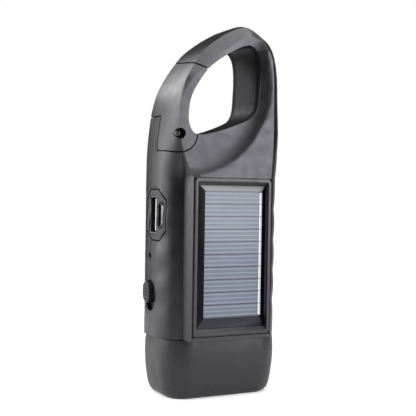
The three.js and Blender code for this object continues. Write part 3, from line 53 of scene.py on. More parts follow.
PHOTO_WIDTH = 416

# Camera: found from the panel's edges and the outline in the photograph
CAMERA_PLACE = Vector((-137.41, -273.01, 71.43)) * MM
CAMERA_TURN = math.radians(-26.5)
CAMERA_PITCH = math.radians(1.01)
CAMERA_ROLL = math.radians(0.94)
FOCAL_PIXELS = 847.06
SENSOR_WIDTH = 36.0
NEAR_CLIP = 0.01

# Softboxes, all turned to the object's middle: place, width and height in metres, and watts
SOFTBOX_AIM = Vector((0, 0, 0.07))
SOFTBOXES = {
    "front_right_softbox": ((0.42, -0.70, 0.18), 0.33, 0.7, 6),
    "left_softbox": ((-0.71, 0.36, 0.34), 0.9, 0.75, 7.5),
    "back_left_softbox": ((-0.27, 0.64, 0.46), 0.3, 0.26, 0.95),
    "overhead_softbox": ((0.02, -0.16, 0.8), 0.95, 0.45, 5),
}

# Black cards around the set: first turn and last turn in degrees from the front, and height in metres
CARD_DISTANCE = 0.26
CARD_FOOT = 0.002
CARD_STEPS = 24
CARD_BLACK = (0.01, 0.01, 0.01)
CARDS = {
    "front_left_card": (-72, 13, 0.25),
    "right_card": (50, 104, 0.45),
    "back_card": (124, 184, 0.45),
    "low_back_card": (184, 206, 0.19),
}

# Room and paper: the room's dim light, the glow that lifts the paper to white where it is seen, and how far
# from the middle the paper starts and ends its turn to plain white
ROOM_GREY = (0.3, 0.3, 0.31)
WHITE = (1, 1, 1)
PAPER_REACH = 3
PAPER_WHITE = (0.8, 0.8, 0.8)
PAPER_ROUGHNESS = 0.9
PAPER_GLOSS = 0.1
PAPER_GLOW = 0.42
PAPER_NEAR = 0.15
PAPER_FAR = 0.5

# Solar panel: edges of the cells and of the bus strip beside them, and the rows of cells
CELLS_LEFT = -8.9 * MM
CELLS_RIGHT = 12.5 * MM
BUS_RIGHT = 13.5 * MM
BUS_END_INSET = 0.5 * MM
CELLS_BOTTOM = 28.2 * MM
CELLS_TOP = 72.3 * MM
CELL_PITCH = 4.37 * MM
CELL_GAP = 0.4 * MM
LINES_PER_CELL = 3
LINE_HALF_WIDTH_SHARE = 0.1

# Resin round the cells: how far it falls to its edge, its first border, and the reach of its end strips
RESIN_FALL = 1.1 * MM
RESIN_BORDER = 2 * MM
END_STRIP_REACH = 4 * MM

# Frame round the panel: its rim, and the band that slopes from the rim down to the resin
RIM_WIDTH = 1.75 * MM
RIM_CORNER = 1.2 * MM
RIM_OUTER_ROUND = 0.25 * MM
RIM_INNER_ROUND = 0.18 * MM
SIDE_SLOPE = 0.3 * MM
END_SLOPE = 1.05 * MM
SLOPE_DEPTH = 1.2 * MM
MOUTH_STEP = 0.02 * MM

# Knurl on the slide switch: cones that stand in a face sunk by their height
CROWN_REACH = 0.05 * MM
KNURL_HEIGHT = 0.45 * MM
KNURL_PITCH = 1.2 * MM
KNURL_COLUMNS = 4
KNURL_ROWS = 5
KNURL_LIFT = 0.02 * MM
CONE_FOOT = 0.56 * MM
CONE_TIP = 0.2 * MM
CONE_SIDES = 10

# Faces that look at another piece from closer than this are the walls of a seam, which get painted shade
SEAM_REACH = 0.45 * MM
SEAM_SKIP = 0.01 * MM
SEAMED = (
    "front_shell_moulding", "rear_shell_moulding", "carabiner_gate_moulding", "port_plate_moulding",
    "head_cap_moulding", "rounded_frame", "crank_disc_moulding", "crank_arm_moulding",
)

# How far the walls of the let-in pieces stand back, so that their seams open
SEAM_OPENING = {"carabiner_gate_moulding": 0.18 * MM, "port_plate_moulding": 0.15 * MM}
SEAM_OPENING_TOP = 105 * MM

# Opening of the handle: its middle, its reach to the sides and up, and how its wall is told from the rest
OPENING_MIDDLE = Vector((-0.8, 0, 108)) * MM
OPENING_REACH = (16 * MM, 21 * MM)
WALL_INWARD = 0.35
WALL_FORWARD = 0.6

# Foot of the raised front: where the shell has it, and how far it is spread
FOOT_HALF_WIDTH = 16.2 * MM
FOOT_DEPTH = -10.5 * MM
FOOT_REACH = 0.3 * MM
FOOT_TOP = 78 * MM
FOOT_SPREAD = 0.4 * MM

# Sockets: wall of the tin shell, reach of its rim, and half the band across the mouth that the tongue fills
SOCKET_WALL = 0.5 * MM
SOCKET_RIM = 0.1 * MM
TONGUE_BAND = {"usb_a_socket": 1.8 * MM, "usb_c_socket": 0.5 * MM}

# How far a face looks in a direction, as the cosine of the angle between them
SQUARELY = 0.9
MOSTLY = 0.8
HALFWAY = 0.5
HARDLY = 0.1

# Bend over which an edge is sharp, reach within which points are one, and within which one lies on a plane
SHARP_BEND = math.radians(32)
MERGE_REACH = 0.002 * MM
PLANE_REACH = 0.01 * MM

# Nodes whose finish differs from the one that their slot has elsewhere
OWN_FINISH = {"gate_pin": "blackened", "hinge_pin": "blackened", "port_plate": "plate"}

# Plastic: slightly cool gloss, cells per metre of its clouds and of its handling, how far handling changes
# its roughness, and how strong its grain is
COOL_GLOSS = (0.92, 0.91, 1.0)
PLASTIC_CLOUDS = 90
PLASTIC_HANDLING = 260
PLASTIC_SMOOTHER = 0.05
PLASTIC_ROUGHER = 0.06
GRAIN_STRENGTH = 0.35

# Metal: cells per metre of its mottle and of its handling, the mottle's shade and the change of roughness
METAL_MOTTLE = 700
METAL_HANDLING = 2400
METAL_SHADE = 0.82
METAL_SMOOTHER = 0.06
METAL_ROUGHER = 0.1

# Clear plastic: the same for its faint tint
CLEAR_CLOUDS = 300
CLEAR_HANDLING = 900
CLEAR_SHADE = 0.97
CLEAR_ROUGHER = 0.05

# Cells under their resin: cells per metre of their clouds and of the resin's handling, and the resin's gloss
CELL_CLOUDS = 160
CELL_HANDLING = 500
CELL_SMOOTHEST = 0.3
CELL_ROUGHEST = 0.4
GREENEST_ROW = 0.7
RESIN_GLOSS = 0.3
RESIN_COAT = 0.25
RESIN_COAT_ROUGHNESS = 0.1

# Colours of the panel's print, and of the painted light and shade on the resin's sloping edges
SILVER_BLUE = (0.098, 0.110, 0.176)
SILVER_GREY = (0.130, 0.150, 0.200)
SILVER_GREEN = (0.100, 0.132, 0.158)
CONTACT_LINE = (0.220, 0.250, 0.310)
CELL_SEAM = (0.034, 0.039, 0.058)
# Painted shade: black on the resin's sloping sides and beside the ends of the bus strip
SIDE_SHADE_BLACK = (0.003, 0.003, 0.004)
BUS_SILVER = (0.92, 0.93, 0.94)
BUS_NOTCH = (0.5, 0.51, 0.54)
# Painted light: light grey on the resin's slope that faces up at the top
TOP_STRIP_LIGHT = (0.27, 0.28, 0.30)
# Painted shade: dark on the resin's slope that faces down at the foot
FOOT_STRIP_SHADE = (0.022, 0.022, 0.030)

BODY_OF = {
    node: body
    for body, nodes in frame["record"]["behaviour"]["bodies"].items()
    for node in nodes
}
SLOT_OF = {part["node"]: part["material_slot"] for part in frame["record"]["subparts"]}

# Nodes whose own shape is right, and which only get smooth curves and sharp edges
SMOOTH_NODES = (
    "port_plate", "carabiner_gate", "head_cap", "crank_disc", "crank_arm", "crank_knob", "lens", "reflector",
    "gate_pin", "hinge_pin", "knob_post", "indicator_lens", "led_left", "led_middle", "led_right",
    "screw_lower_left", "screw_lower_right", "screw_upper_left", "screw_upper_right", "screw_handle",
)


def linked(name, data):
    """An object of this data, linked to the scene."""
    made = bpy.data.objects.new(name, data)
    bpy.context.scene.collection.objects.link(made)
    return made


def meshed(bm, name):
    """The finished bmesh as a mesh."""
    mesh = bpy.data.meshes.new(name)
    bm.to_mesh(mesh)
    bm.free()
    return mesh


def place_camera():
    """The photograph's view: a level camera a little to the left of the front, rolled slightly."""
    back = Vector((
        math.sin(CAMERA_TURN) * math.cos(CAMERA_PITCH),
        -math.cos(CAMERA_TURN) * math.cos(CAMERA_PITCH),
        math.sin(CAMERA_PITCH),
    ))
    level_right = Vector((math.cos(CAMERA_TURN), math.sin(CAMERA_TURN), 0))
    level_up = back.cross(level_right)
    right = level_right * math.cos(CAMERA_ROLL) + level_up * math.sin(CAMERA_ROLL)
    up = back.cross(right)
    data = bpy.data.cameras.new("camera")
    data.sensor_width = SENSOR_WIDTH
    data.lens = FOCAL_PIXELS / PHOTO_WIDTH * SENSOR_WIDTH
    data.clip_start = NEAR_CLIP
    camera = linked("camera", data)
    axes = Matrix((right, up, back)).transposed()
    camera.matrix_world = Matrix.Translation(CAMERA_PLACE) @ axes.to_4x4()
    bpy.context.scene.camera = camera


# Nodes that the finishes and the studio share

def new_finish(name):
    """A new material with its node tree and its shader."""
    material = bpy.data.materials.new(name)
    material.use_nodes = True
    return material, material.node_tree, material.node_tree.nodes["Principled BSDF"]


def set_plain(node, values):
    """Values that are the same all over, on the node's own sockets."""
    for socket, value in values.items():
        node.inputs[socket].default_value = (*value, 1) if isinstance(value, tuple) else value


def feed(tree, node, values):
    """Values from other nodes, linked to the node's sockets."""
    for socket, value in values.items():
        tree.links.new(value, node.inputs[socket])


def object_place(tree):
    """Coordinates on the object itself, in metres."""
    return tree.nodes.new("ShaderNodeTexCoord").outputs["Object"]


def noise(tree, scale, detail):
    """Cloudy noise on object coordinates, in cells per metre."""
    node = tree.nodes.new("ShaderNodeTexNoise")
    set_plain(node, {"Scale": scale, "Detail": detail})
    feed(tree, node, {"Vector": object_place(tree)})
    return node.outputs["Fac"]


def ranged(tree, value, low, high, from_low=0.3, from_high=0.7):
    """The value, spread from one range to another. Noise keeps mostly between 0.3 and 0.7."""
    node = tree.nodes.new("ShaderNodeMapRange")
    set_plain(node, {"From Min": from_low, "From Max": from_high, "To Min": low, "To Max": high})
    feed(tree, node, {"Value": value})
    return node.outputs["Result"]


def maths(tree, operation, first, second=None):
    """One step of arithmetic on one or two values, each a number or another node's output."""
    node = tree.nodes.new("ShaderNodeMath")
    node.operation = operation
    for socket, value in zip(node.inputs, (first, second)):
        if isinstance(value, (int, float)):
            socket.default_value = value
        elif value is not None:
            tree.links.new(value, socket)
    return node.outputs[0]


def within(tree, value, low, high):
    """1 where the value lies between low and high."""
    above = maths(tree, "GREATER_THAN", value, low)
    below = maths(tree, "LESS_THAN", value, high)
    return maths(tree, "MULTIPLY", above, below)


def mixed_colour(tree, factor, first, second):
    """The first colour where the factor is 0 and the second where it is 1."""
    node = tree.nodes.new("ShaderNodeMix")
    node.data_type = "RGBA"
    tree.links.new(factor, node.inputs["Factor"])
    for socket, colour in ((node.inputs["A"], first), (node.inputs["B"], second)):
        if isinstance(colour, tuple):
            socket.default_value = (*colour, 1)
        else:
            tree.links.new(colour, socket)
    return node.outputs["Result"]


def mixed_shader(tree, factor, first, second):
    """The first shader where the factor is 0 and the second where it is 1."""
    node = tree.nodes.new("ShaderNodeMixShader")
    for socket, value in zip(node.inputs, (factor, first, second)):
        tree.links.new(value, socket)
    return node.outputs[0]


def seen_directly(tree):
    """1 for a ray from the camera, and for what gloss and glass show; 0 for light that falls on a surface."""
    path = tree.nodes.new("ShaderNodeLightPath").outputs
    gloss = maths(tree, "MAXIMUM", path["Is Camera Ray"], path["Is Glossy Ray"])
    return maths(tree, "MAXIMUM", gloss, path["Is Transmission Ray"])


# Studio

def softbox(name, place, width, height, watts):
    """Rectangular lamp that lights the object and stays out of the picture."""
    data = bpy.data.lights.new(name, "AREA")
    data.shape = "RECTANGLE"
    data.size = width
    data.size_y = height
    data.energy = watts
    lamp = linked(name, data)
    lamp.location = place
    lamp.rotation_mode = "QUATERNION"
    lamp.rotation_quaternion = (SOFTBOX_AIM - Vector(place)).to_track_quat("-Z", "Y")
    lamp.visible_camera = False


def light_world():
    """Dim room that lights the object from all around, and shows as plain white."""
    world = bpy.data.worlds.new("studio")
    bpy.context.scene.world = world
    world.use_nodes = True
    tree = world.node_tree
    tree.nodes.clear()
    dim = tree.nodes.new("ShaderNodeBackground")
    set_plain(dim, {"Color": ROOM_GREY})
    white = tree.nodes.new("ShaderNodeBackground")
    set_plain(white, {"Color": WHITE})
    shown = mixed_shader(tree, seen_directly(tree), dim.outputs[0], white.outputs[0])
    feed(tree, tree.nodes.new("ShaderNodeOutputWorld"), {"Surface": shown})


def lay_floor():
    """White paper, clear from below: it takes the object's shadow and runs out to plain white."""
    bm = bmesh.new()
    bmesh.ops.create_grid(bm, x_segments=1, y_segments=1, size=PAPER_REACH)
    floor = linked("floor", meshed(bm, "floor"))
    material, tree, paper = new_finish("floor_paper")
    set_plain(paper, {
        "Base Color": PAPER_WHITE,
        "Roughness": PAPER_ROUGHNESS,
        "Specular IOR Level": PAPER_GLOSS,
        "Emission Color": WHITE,
    })
    feed(tree, paper, {"Emission Strength": maths(tree, "MULTIPLY", seen_directly(tree), PAPER_GLOW)})
    distance = tree.nodes.new("ShaderNodeVectorMath")
    distance.operation = "LENGTH"
    tree.links.new(object_place(tree), distance.inputs[0])
    far = ranged(tree, distance.outputs["Value"], 0, 1, PAPER_NEAR, PAPER_FAR)
    plain_white = tree.nodes.new("ShaderNodeEmission").outputs[0]
    above = mixed_shader(tree, far, paper.outputs[0], plain_white)
    from_below = tree.nodes.new("ShaderNodeNewGeometry").outputs["Backfacing"]
    clear = tree.nodes.new("ShaderNodeBsdfTransparent").outputs[0]
    feed(tree, tree.nodes["Material Output"], {"Surface": mixed_shader(tree, from_below, above, clear)})
    floor.data.materials.append(material)


def dark_card(name, first_turn, last_turn, top):
    """Curved black card around the set, which keeps its side of the gloss dark and casts no shade."""
    bm = bmesh.new()
    start = math.radians(first_turn - 90)
    ends = [bm.verts.new((CARD_DISTANCE * math.cos(start), CARD_DISTANCE * math.sin(start), height))
            for height in (CARD_FOOT, top)]
    upright = bm.edges.new(ends)
    bmesh.ops.spin(bm, geom=[*ends, upright], cent=(0, 0, 0), axis=(0, 0, 1),
                   angle=math.radians(last_turn - first_turn), steps=CARD_STEPS)
    card = linked(name, meshed(bm, name))
    material, _, shader = new_finish(name)
    set_plain(shader, {"Base Color": CARD_BLACK, "Roughness": 1, "Specular IOR Level": 0})
    card.data.materials.append(material)
    card.visible_camera = False
    card.visible_diffuse = False
    card.visible_shadow = False


def light_studio():
    """Room, paper, black cards and softboxes."""
    light_world()
    lay_floor()
    for name, reach in CARDS.items():
        dark_card(name, *reach)
    for name, box in SOFTBOXES.items():
        softbox(name, *box)


# Finishes

def moulded_plastic(name, colour, worn, roughness, grain, grain_depth, gloss=0.5):
    """Moulded plastic: faint clouding of its colour and gloss, and a fine grain of so many cells a metre."""
    material, tree, shader = new_finish(name)
    set_plain(shader, {"Specular IOR Level": gloss, "Specular Tint": COOL_GLOSS})
    cloud = ranged(tree, noise(tree, PLASTIC_CLOUDS, detail=3), 0, 1)
    handled = noise(tree, PLASTIC_HANDLING, detail=4)
    bump = tree.nodes.new("ShaderNodeBump")
    set_plain(bump, {"Strength": GRAIN_STRENGTH, "Distance": grain_depth})
    feed(tree, bump, {"Height": noise(tree, grain, detail=2)})
    feed(tree, shader, {
        "Base Color": mixed_colour(tree, cloud, colour, worn),
        "Roughness": ranged(tree, handled, roughness - PLASTIC_SMOOTHER, roughness + PLASTIC_ROUGHER),
        "Normal": bump.outputs["Normal"],
    })
    return material


def metal(name, colour, roughness):
    """Metal with a faint mottle in its colour and a finer one in its gloss."""
    material, tree, shader = new_finish(name)
    set_plain(shader, {"Metallic": 1})
    mottle = ranged(tree, noise(tree, METAL_MOTTLE, detail=3), 0, 1)
    handled = noise(tree, METAL_HANDLING, detail=4)
    feed(tree, shader, {
        "Base Color": mixed_colour(tree, mottle, colour, tuple(METAL_SHADE * part for part in colour)),
        "Roughness": ranged(tree, handled, roughness - METAL_SMOOTHER, roughness + METAL_ROUGHER),
    })
    return material


def clear_plastic(name, colour, roughness, ior):
    """Clear plastic whose tint and gloss stray a little."""
    material, tree, shader = new_finish(name)
    set_plain(shader, {"Transmission Weight": 1, "IOR": ior})
    tint = tuple(CLEAR_SHADE * part for part in colour)
    handled = noise(tree, CLEAR_HANDLING, detail=2)
    feed(tree, shader, {
        "Base Color": mixed_colour(tree, noise(tree, CLEAR_CLOUDS, detail=2), colour, tint),
        "Roughness": ranged(tree, handled, roughness, roughness + CLEAR_ROUGHER),
    })
    return material


def solar_cells(name):
    """Pale blue-grey cells in rows under clear resin, with dark seams, fine contact lines and a bus strip."""
    material, tree, shader = new_finish(name)
    parts = tree.nodes.new("ShaderNodeSeparateXYZ")
    tree.links.new(object_place(tree), parts.inputs[0])
    x, z = parts.outputs["X"], parts.outputs["Z"]

    rows = maths(tree, "DIVIDE", maths(tree, "SUBTRACT", z, CELLS_BOTTOM), CELL_PITCH)
    in_cell = maths(tree, "FRACT", rows)
    gap = maths(tree, "LESS_THAN", in_cell, CELL_GAP / CELL_PITCH)
    from_gap = maths(tree, "SUBTRACT", in_cell, CELL_GAP / CELL_PITCH / 2)
    in_line = maths(tree, "FRACT", maths(tree, "MULTIPLY", from_gap, LINES_PER_CELL))
    off_line = maths(tree, "ABSOLUTE", maths(tree, "SUBTRACT", in_line, 0.5))
    contact = maths(tree, "LESS_THAN", off_line, LINE_HALF_WIDTH_SHARE)

    batch = tree.nodes.new("ShaderNodeTexWhiteNoise")
    batch.noise_dimensions = "1D"
    tree.links.new(maths(tree, "FLOOR", rows), batch.inputs["W"])
    cloud = ranged(tree, noise(tree, CELL_CLOUDS, detail=4), 0, 1)
    silver = mixed_colour(tree, cloud, SILVER_BLUE, SILVER_GREY)
    greener = ranged(tree, batch.outputs["Value"], 0, GREENEST_ROW, 0, 1)
    tinted = mixed_colour(tree, greener, silver, SILVER_GREEN)
    lined = mixed_colour(tree, contact, tinted, CONTACT_LINE)
    celled = mixed_colour(tree, gap, lined, CELL_SEAM)

    beyond = maths(tree, "GREATER_THAN", x, CELLS_RIGHT)
    along_bus = within(tree, z, CELLS_BOTTOM + BUS_END_INSET, CELLS_TOP - BUS_END_INSET)
    bus = mixed_colour(tree, gap, BUS_SILVER, BUS_NOTCH)
    # Painted shade: black beyond the cells where the bus strip doesn't reach
    edge = mixed_colour(tree, along_bus, SIDE_SHADE_BLACK, bus)

    feed(tree, shader, {
        "Base Color": mixed_colour(tree, beyond, celled, edge),
        "Roughness": ranged(tree, noise(tree, CELL_HANDLING, detail=3), CELL_SMOOTHEST, CELL_ROUGHEST),
    })
    set_plain(shader, {
        "Specular IOR Level": RESIN_GLOSS,
        "Coat Weight": RESIN_COAT,
        "Coat Roughness": RESIN_COAT_ROUGHNESS,
    })
    return material


def make_finishes():
    """The finishes, by the record's slots and by names of their own where one piece differs."""
    return {
        "shell": moulded_plastic(
            "satin_black_shell", (0.0050, 0.0050, 0.0062), (0.0078, 0.0078, 0.0092),
            roughness=0.34, grain=9000, grain_depth=0.02 * MM),
        "trim": moulded_plastic(
            "dark_grey_trim", (0.020, 0.020, 0.021), (0.028, 0.028, 0.029),
            roughness=0.45, grain=7000, grain_depth=0.03 * MM),
        "cap": moulded_plastic(
            "grained_cap", (0.0070, 0.0070, 0.0084), (0.0110, 0.0110, 0.0124),
            roughness=0.44, grain=2600, grain_depth=0.13 * MM, gloss=0.45),
        "plate": moulded_plastic(
            "grained_plate", (0.0120, 0.0120, 0.0134), (0.0200, 0.0200, 0.0214),
            roughness=0.48, grain=2800, grain_depth=0.12 * MM),
        "blackened": moulded_plastic(
            "blackened_steel", (0.012, 0.012, 0.013), (0.02, 0.02, 0.021),
            roughness=0.28, grain=3000, grain_depth=0.01 * MM, gloss=0.6),
        # Painted shade: the resin's sloping sides are black
        "resin_sides_painted_shade": moulded_plastic(
            "resin_sides_painted_shade", SIDE_SHADE_BLACK, SIDE_SHADE_BLACK,
            roughness=0.2, grain=4000, grain_depth=0.005 * MM, gloss=0.05),
        # Painted light: the resin's upward slope at the top is light grey
        "resin_top_painted_light": moulded_plastic(
            "resin_top_painted_light", TOP_STRIP_LIGHT, TOP_STRIP_LIGHT,
            roughness=0.4, grain=4000, grain_depth=0.005 * MM, gloss=0.3),
        # Painted shade: the resin's downward slope at the foot is dark
        "resin_foot_painted_shade": moulded_plastic(
            "resin_foot_painted_shade", FOOT_STRIP_SHADE, FOOT_STRIP_SHADE,
            roughness=0.22, grain=4000, grain_depth=0.005 * MM, gloss=0.12),
        "opening_wall": moulded_plastic(
            "opening_wall", (0.0050, 0.0050, 0.0062), (0.0090, 0.0090, 0.0104),
            roughness=0.5, grain=5200, grain_depth=0.08 * MM, gloss=0.2),
        # Painted shade: dull black for the walls of seams and the slide switch's sides
        "shadow_black": moulded_plastic(
            "shadow_black", (0.004, 0.004, 0.004), (0.006, 0.006, 0.006),
            roughness=0.55, grain=6000, grain_depth=0.02 * MM, gloss=0.15),
        "socket_tin": metal("socket_tin", (0.16, 0.16, 0.17), roughness=0.32),
        # Painted light: the same tin as socket_tin, lighter, for the light caught on the rim
        "socket_rim_painted_light": metal("socket_rim_painted_light", (0.24, 0.24, 0.25), roughness=0.3),
        "socket_black": moulded_plastic(
            "socket_black", (0.006, 0.006, 0.006), (0.009, 0.009, 0.009),
            roughness=0.4, grain=4000, grain_depth=0.01 * MM),
        "contact_white": moulded_plastic(
            "contact_white", (0.62, 0.62, 0.63), (0.7, 0.7, 0.7),
            roughness=0.35, grain=4000, grain_depth=0.01 * MM),
        "solar": solar_cells("solar_cells"),
        "steel": metal("plain_steel", (0.6, 0.6, 0.61), roughness=0.3),
        "brass": metal("turned_brass", (0.65, 0.48, 0.22), roughness=0.32),
        "copper": metal("enamelled_copper", (0.62, 0.27, 0.13), roughness=0.35),
        "circuit": moulded_plastic(
            "circuit_board", (0.02, 0.11, 0.05), (0.03, 0.15, 0.07),
            roughness=0.4, grain=6000, grain_depth=0.01 * MM),
        "battery_wrap": metal("cell_pouch", (0.55, 0.57, 0.6), roughness=0.4),
        "inner_plastic": moulded_plastic(
            "natural_plastic", (0.68, 0.68, 0.64), (0.74, 0.74, 0.7),
            roughness=0.45, grain=6000, grain_depth=0.01 * MM),
        "indicator": moulded_plastic(
            "smoked_guide", (0.01, 0.01, 0.01), (0.02, 0.02, 0.02),
            roughness=0.2, grain=6000, grain_depth=0.005 * MM),
        "lens": clear_plastic("clear_lens", (0.97, 0.98, 0.98), roughness=0.03, ior=1.49),
        "mirror_finish": metal("metallised_reflector", (0.86, 0.86, 0.87), roughness=0.12),
        "led_body": clear_plastic("lamp_epoxy", (0.97, 0.97, 0.94), roughness=0.06, ior=1.5),
    }


# Pieces

def finished(bm, name, node, *materials):
    """The piece that stands for a node: smooth where it curves, sharp at its edges, riding on its body."""
    for face in bm.faces:
        face.smooth = True
    for edge in bm.edges:
        edge.smooth = len(edge.link_faces) == 2 and edge.calc_face_angle(0) < SHARP_BEND
    piece = linked(name, meshed(bm, name))
    for material in materials:
        piece.data.materials.append(material)
    weighted = piece.modifiers.new("even_shading", "WEIGHTED_NORMAL")
    weighted.keep_sharp = True
    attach(piece, BODY_OF[node])
    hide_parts(node)


def merged_copy(node):
    """The node's own solid with its loose triangles joined."""
    bm = bmesh.new()
    bm.from_mesh(frame["nodes"][node].data)
    bmesh.ops.remove_doubles(bm, verts=bm.verts, dist=MERGE_REACH)
    bmesh.ops.dissolve_degenerate(bm, edges=bm.edges, dist=MERGE_REACH)
    return bm


def block(low, high):
    """A plain block between two corners, for an operator to shape."""
    bm = bmesh.new()
    bmesh.ops.create_cube(bm, size=1)
    bmesh.ops.scale(bm, vec=high - low, verts=bm.verts)
    bmesh.ops.translate(bm, vec=(low + high) / 2, verts=bm.verts)
    return bm


def smooth_node(node, finishes):
    """The node's own solid with smooth curves and sharp edges, in its slot's finish or its own."""
    finish = finishes[OWN_FINISH.get(node, SLOT_OF[node])]
    finished(merged_copy(node), node + "_moulding", node, finish)


def knurled_slider(finishes):
    """The slide switch's own solid, with its face sunk and filled with rows of cones, and its sides painted
    black as shade.
    """
    low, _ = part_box("switch_slider")
    bm = merged_copy("switch_slider")
    crown = [corner for corner in bm.verts if corner.co.x < low.x + CROWN_REACH]
    middle = sum((corner.co for corner in crown), Vector()) / len(crown)
    for corner in crown:
        corner.co.x += KNURL_HEIGHT
    # Painted shade: faces that don't face outward, the sides, get shadow_black; the cones added later keep
    # the trim
    for face in bm.faces:
        face.material_index = int(face.normal.x > -MOSTLY)
    tip_outward = Matrix.Rotation(math.radians(-90), 4, "Y")
    for column in range(KNURL_COLUMNS):
        for row in range(KNURL_ROWS):
            place = Vector((
                low.x + KNURL_HEIGHT / 2 + KNURL_LIFT,
                middle.y + (column - (KNURL_COLUMNS - 1) / 2) * KNURL_PITCH,
                middle.z + (row - (KNURL_ROWS - 1) / 2) * KNURL_PITCH,
            ))
            bmesh.ops.create_cone(
                bm, cap_ends=True, segments=CONE_SIDES, radius1=CONE_FOOT, radius2=CONE_TIP,
                depth=KNURL_HEIGHT, matrix=Matrix.Translation(place) @ tip_outward)
    finished(bm, "knurled_slider", "switch_slider", finishes["trim"], finishes["shadow_black"])


def socket_with_tongue(node, tin, tongue, rim):
    """The socket's own solid, with a finish of its own on the tongue inside the mouth, and the given rim
    finish on the rim, which for the USB-A socket is the tin painted lighter as light caught on its edge.
    """
    low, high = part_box(node)
    bm = merged_copy(node)
    of_tin, of_tongue, of_rim = range(3)
    for face in bm.faces:
        place = face.calc_center_median()
        in_depth = low.y + SOCKET_WALL < place.y < high.y - SOCKET_WALL
        in_height = low.z + 2 * SOCKET_WALL < place.z < high.z - 2 * SOCKET_WALL
        shallow = all(corner.co.x < high.x - SOCKET_WALL for corner in face.verts)
        across = abs(place.y - (low.y + high.y) / 2)
        inner = abs(face.normal.x) < HALFWAY and across < TONGUE_BAND[node]
        outward = face.normal.x < -SQUARELY
        front = outward and low.x + SOCKET_WALL < place.x < high.x - 2 * SOCKET_WALL
        face.material_index = of_tin
        if in_depth and in_height and (front or (inner and not shallow)):
            face.material_index = of_tongue
        if outward and place.x < low.x + SOCKET_RIM:
            face.material_index = of_rim
    finished(bm, node + "_with_tongue", node, tin, tongue, rim)


def solar_resin(finishes):
    """Resin slab: flat above the cells, and sloping away to all four edges under the frame."""
    low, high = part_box("solar_panel")
    bm = block(low, high)
    front = next(face for face in bm.faces if face.normal.y < -SQUARELY)
    rim = list(front.verts)
    slopes = bmesh.ops.inset_region(bm, faces=[front], thickness=RESIN_BORDER)["faces"]
    middle = (low.z + high.z) / 2
    of_cells, of_side_shade, of_top_light, of_foot_shade = range(4)
    # Painted shade: the resin's sloping sides are black, and so are its hidden faces
    for face in bm.faces:
        face.material_index = of_cells if face == front else of_side_shade
    for slope in slopes:
        height = slope.calc_center_median().z
        # Painted light: the slope at the top is light grey
        if height > high.z - END_STRIP_REACH:
            slope.material_index = of_top_light
        # Painted shade: the slope at the foot is dark
        elif height < low.z + END_STRIP_REACH:
            slope.material_index = of_foot_shade
    for corner in front.verts:
        corner.co.x = CELLS_LEFT if corner.co.x < 0 else BUS_RIGHT
        corner.co.z = CELLS_BOTTOM if corner.co.z < middle else CELLS_TOP
    for corner in rim:
        corner.co.y += RESIN_FALL
    finished(bm, "solar_resin", "solar_panel", finishes["solar"], finishes["resin_sides_painted_shade"],
             finishes["resin_top_painted_light"], finishes["resin_foot_painted_shade"])


def round_off(bm, edges, offset, segments):
    """Rounds these edges of a piece."""
    bmesh.ops.bevel(
        bm, geom=edges, offset=offset, affect="EDGES", segments=segments, profile=0.5, material=-1)


def rounded_frame(finishes):
    """Frame round the panel: a rounded rim, steep inside at the sides and sloping in at the ends."""
    low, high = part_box("solar_frame")
    bm = block(low, high)
    front = min(bm.faces, key=lambda face: face.calc_center_median().y)
    back = max(bm.faces, key=lambda face: face.calc_center_median().y)
    uprights = [edge for edge in bm.edges if abs(edge.verts[0].co.y - edge.verts[1].co.y) > MM]

    bmesh.ops.inset_region(bm, faces=[front], thickness=RIM_WIDTH)
    inner_rim = list(front.edges)
    bmesh.ops.inset_region(bm, faces=[front], thickness=SIDE_SLOPE, depth=-SLOPE_DEPTH)
    middle = (low.z + high.z) / 2
    for corner in front.verts:
        corner.co.z += math.copysign(END_SLOPE, middle - corner.co.z)
    bmesh.ops.inset_region(bm, faces=[front], thickness=MOUTH_STEP)
    for corner in front.verts:
        corner.co.y = high.y
    mouth = list(front.edges) + list(back.edges)
    bmesh.ops.delete(bm, geom=[front, back], context="FACES_ONLY")
    bmesh.ops.bridge_loops(bm, edges=mouth)

    round_off(bm, uprights, RIM_CORNER, segments=5)
    outer_rim = [edge for edge in bm.edges
                 if all(abs(corner.co.y - low.y) < PLANE_REACH for corner in edge.verts)
                 and any(abs(face.normal.y) < HARDLY for face in edge.link_faces)]
    round_off(bm, outer_rim, RIM_OUTER_ROUND, segments=3)
    round_off(bm, [edge for edge in inner_rim if edge.is_valid], RIM_INNER_ROUND, segments=2)
    bmesh.ops.recalc_face_normals(bm, faces=bm.faces)
    finished(bm, "rounded_frame", "solar_frame", finishes["shell"])


def spread_foot(bm):
    """Spreads the foot of the front shell's raised front a little on both sides."""
    low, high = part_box("front_shell")
    middle = (low.x + high.x) / 2
    for corner in bm.verts:
        across = corner.co.x - middle
        at_side = abs(abs(across) - FOOT_HALF_WIDTH) < FOOT_REACH
        at_depth = abs(corner.co.y - FOOT_DEPTH) < FOOT_REACH
        if at_side and at_depth and corner.co.z < FOOT_TOP:
            corner.co.x += math.copysign(FOOT_SPREAD, across)


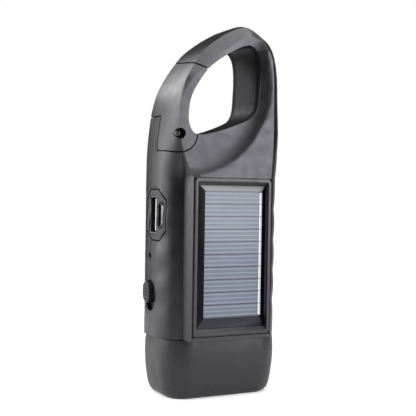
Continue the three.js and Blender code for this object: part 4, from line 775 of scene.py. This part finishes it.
def dulled_opening(bm, node, finishes):
    """A shell whose wall inside the handle's opening has a coarser, duller finish."""
    for face in bm.faces:
        towards = OPENING_MIDDLE - face.calc_center_median()
        towards.y = 0
        reach = math.hypot(towards.x / OPENING_REACH[0], towards.z / OPENING_REACH[1])
        inward = towards.length > 0 and face.normal.dot(towards.normalized()) > WALL_INWARD
        face.material_index = int(reach < 1 and inward and abs(face.normal.y) < WALL_FORWARD)
    finished(bm, node + "_moulding", node, finishes["shell"], finishes["opening_wall"])


def darken_seams(finishes):
    """Painted shade: dull black on the walls of the seams, so that each seam reads as a dark line."""
    pieces = [bpy.data.objects[name] for name in SEAMED]
    trees = {
        piece.name: BVHTree.FromPolygons(
            [corner.co.copy() for corner in piece.data.vertices],
            [tuple(face.vertices) for face in piece.data.polygons])
        for piece in pieces
    }
    for piece in pieces:
        piece.data.materials.append(finishes["shadow_black"])
        others = [tree for name, tree in trees.items() if name != piece.name]
        outward = {}
        for face in piece.data.polygons:
            start = face.center + face.normal * SEAM_SKIP
            if any(tree.ray_cast(start, face.normal, SEAM_REACH)[0] is not None for tree in others):
                face.material_index = len(piece.data.materials) - 1
                for corner in face.vertices:
                    outward[corner] = outward.get(corner, Vector()) + face.normal * face.area
        for corner, direction in outward.items():
            place = piece.data.vertices[corner].co
            if direction.length > 0 and place.z < SEAM_OPENING_TOP:
                place -= direction.normalized() * SEAM_OPENING.get(piece.name, 0)


def dress_nodes(finishes):
    """Every node's finish, and the pieces that stand for nodes."""
    for node, piece in frame["nodes"].items():
        if not piece.material_slots:
            piece.data.materials.append(finishes[SLOT_OF[node]])
        for slot in piece.material_slots:
            slot.material = finishes[SLOT_OF[node]]
    for node in SMOOTH_NODES:
        smooth_node(node, finishes)
    tin, black = finishes["socket_tin"], finishes["socket_black"]
    # Painted light: the USB-A socket's rim is a lighter copy of its tin
    socket_with_tongue("usb_a_socket", tin, tongue=finishes["contact_white"], rim=finishes["socket_rim_painted_light"])
    socket_with_tongue("usb_c_socket", tin, tongue=black, rim=black)
    solar_resin(finishes)
    rounded_frame(finishes)
    front_shell = merged_copy("front_shell")
    spread_foot(front_shell)
    dulled_opening(front_shell, "front_shell", finishes)
    dulled_opening(merged_copy("rear_shell"), "rear_shell", finishes)
    knurled_slider(finishes)
    darken_seams(finishes)


bpy.context.scene.view_settings.view_transform = "Standard"
place_camera()
light_studio()
dress_nodes(make_finishes())
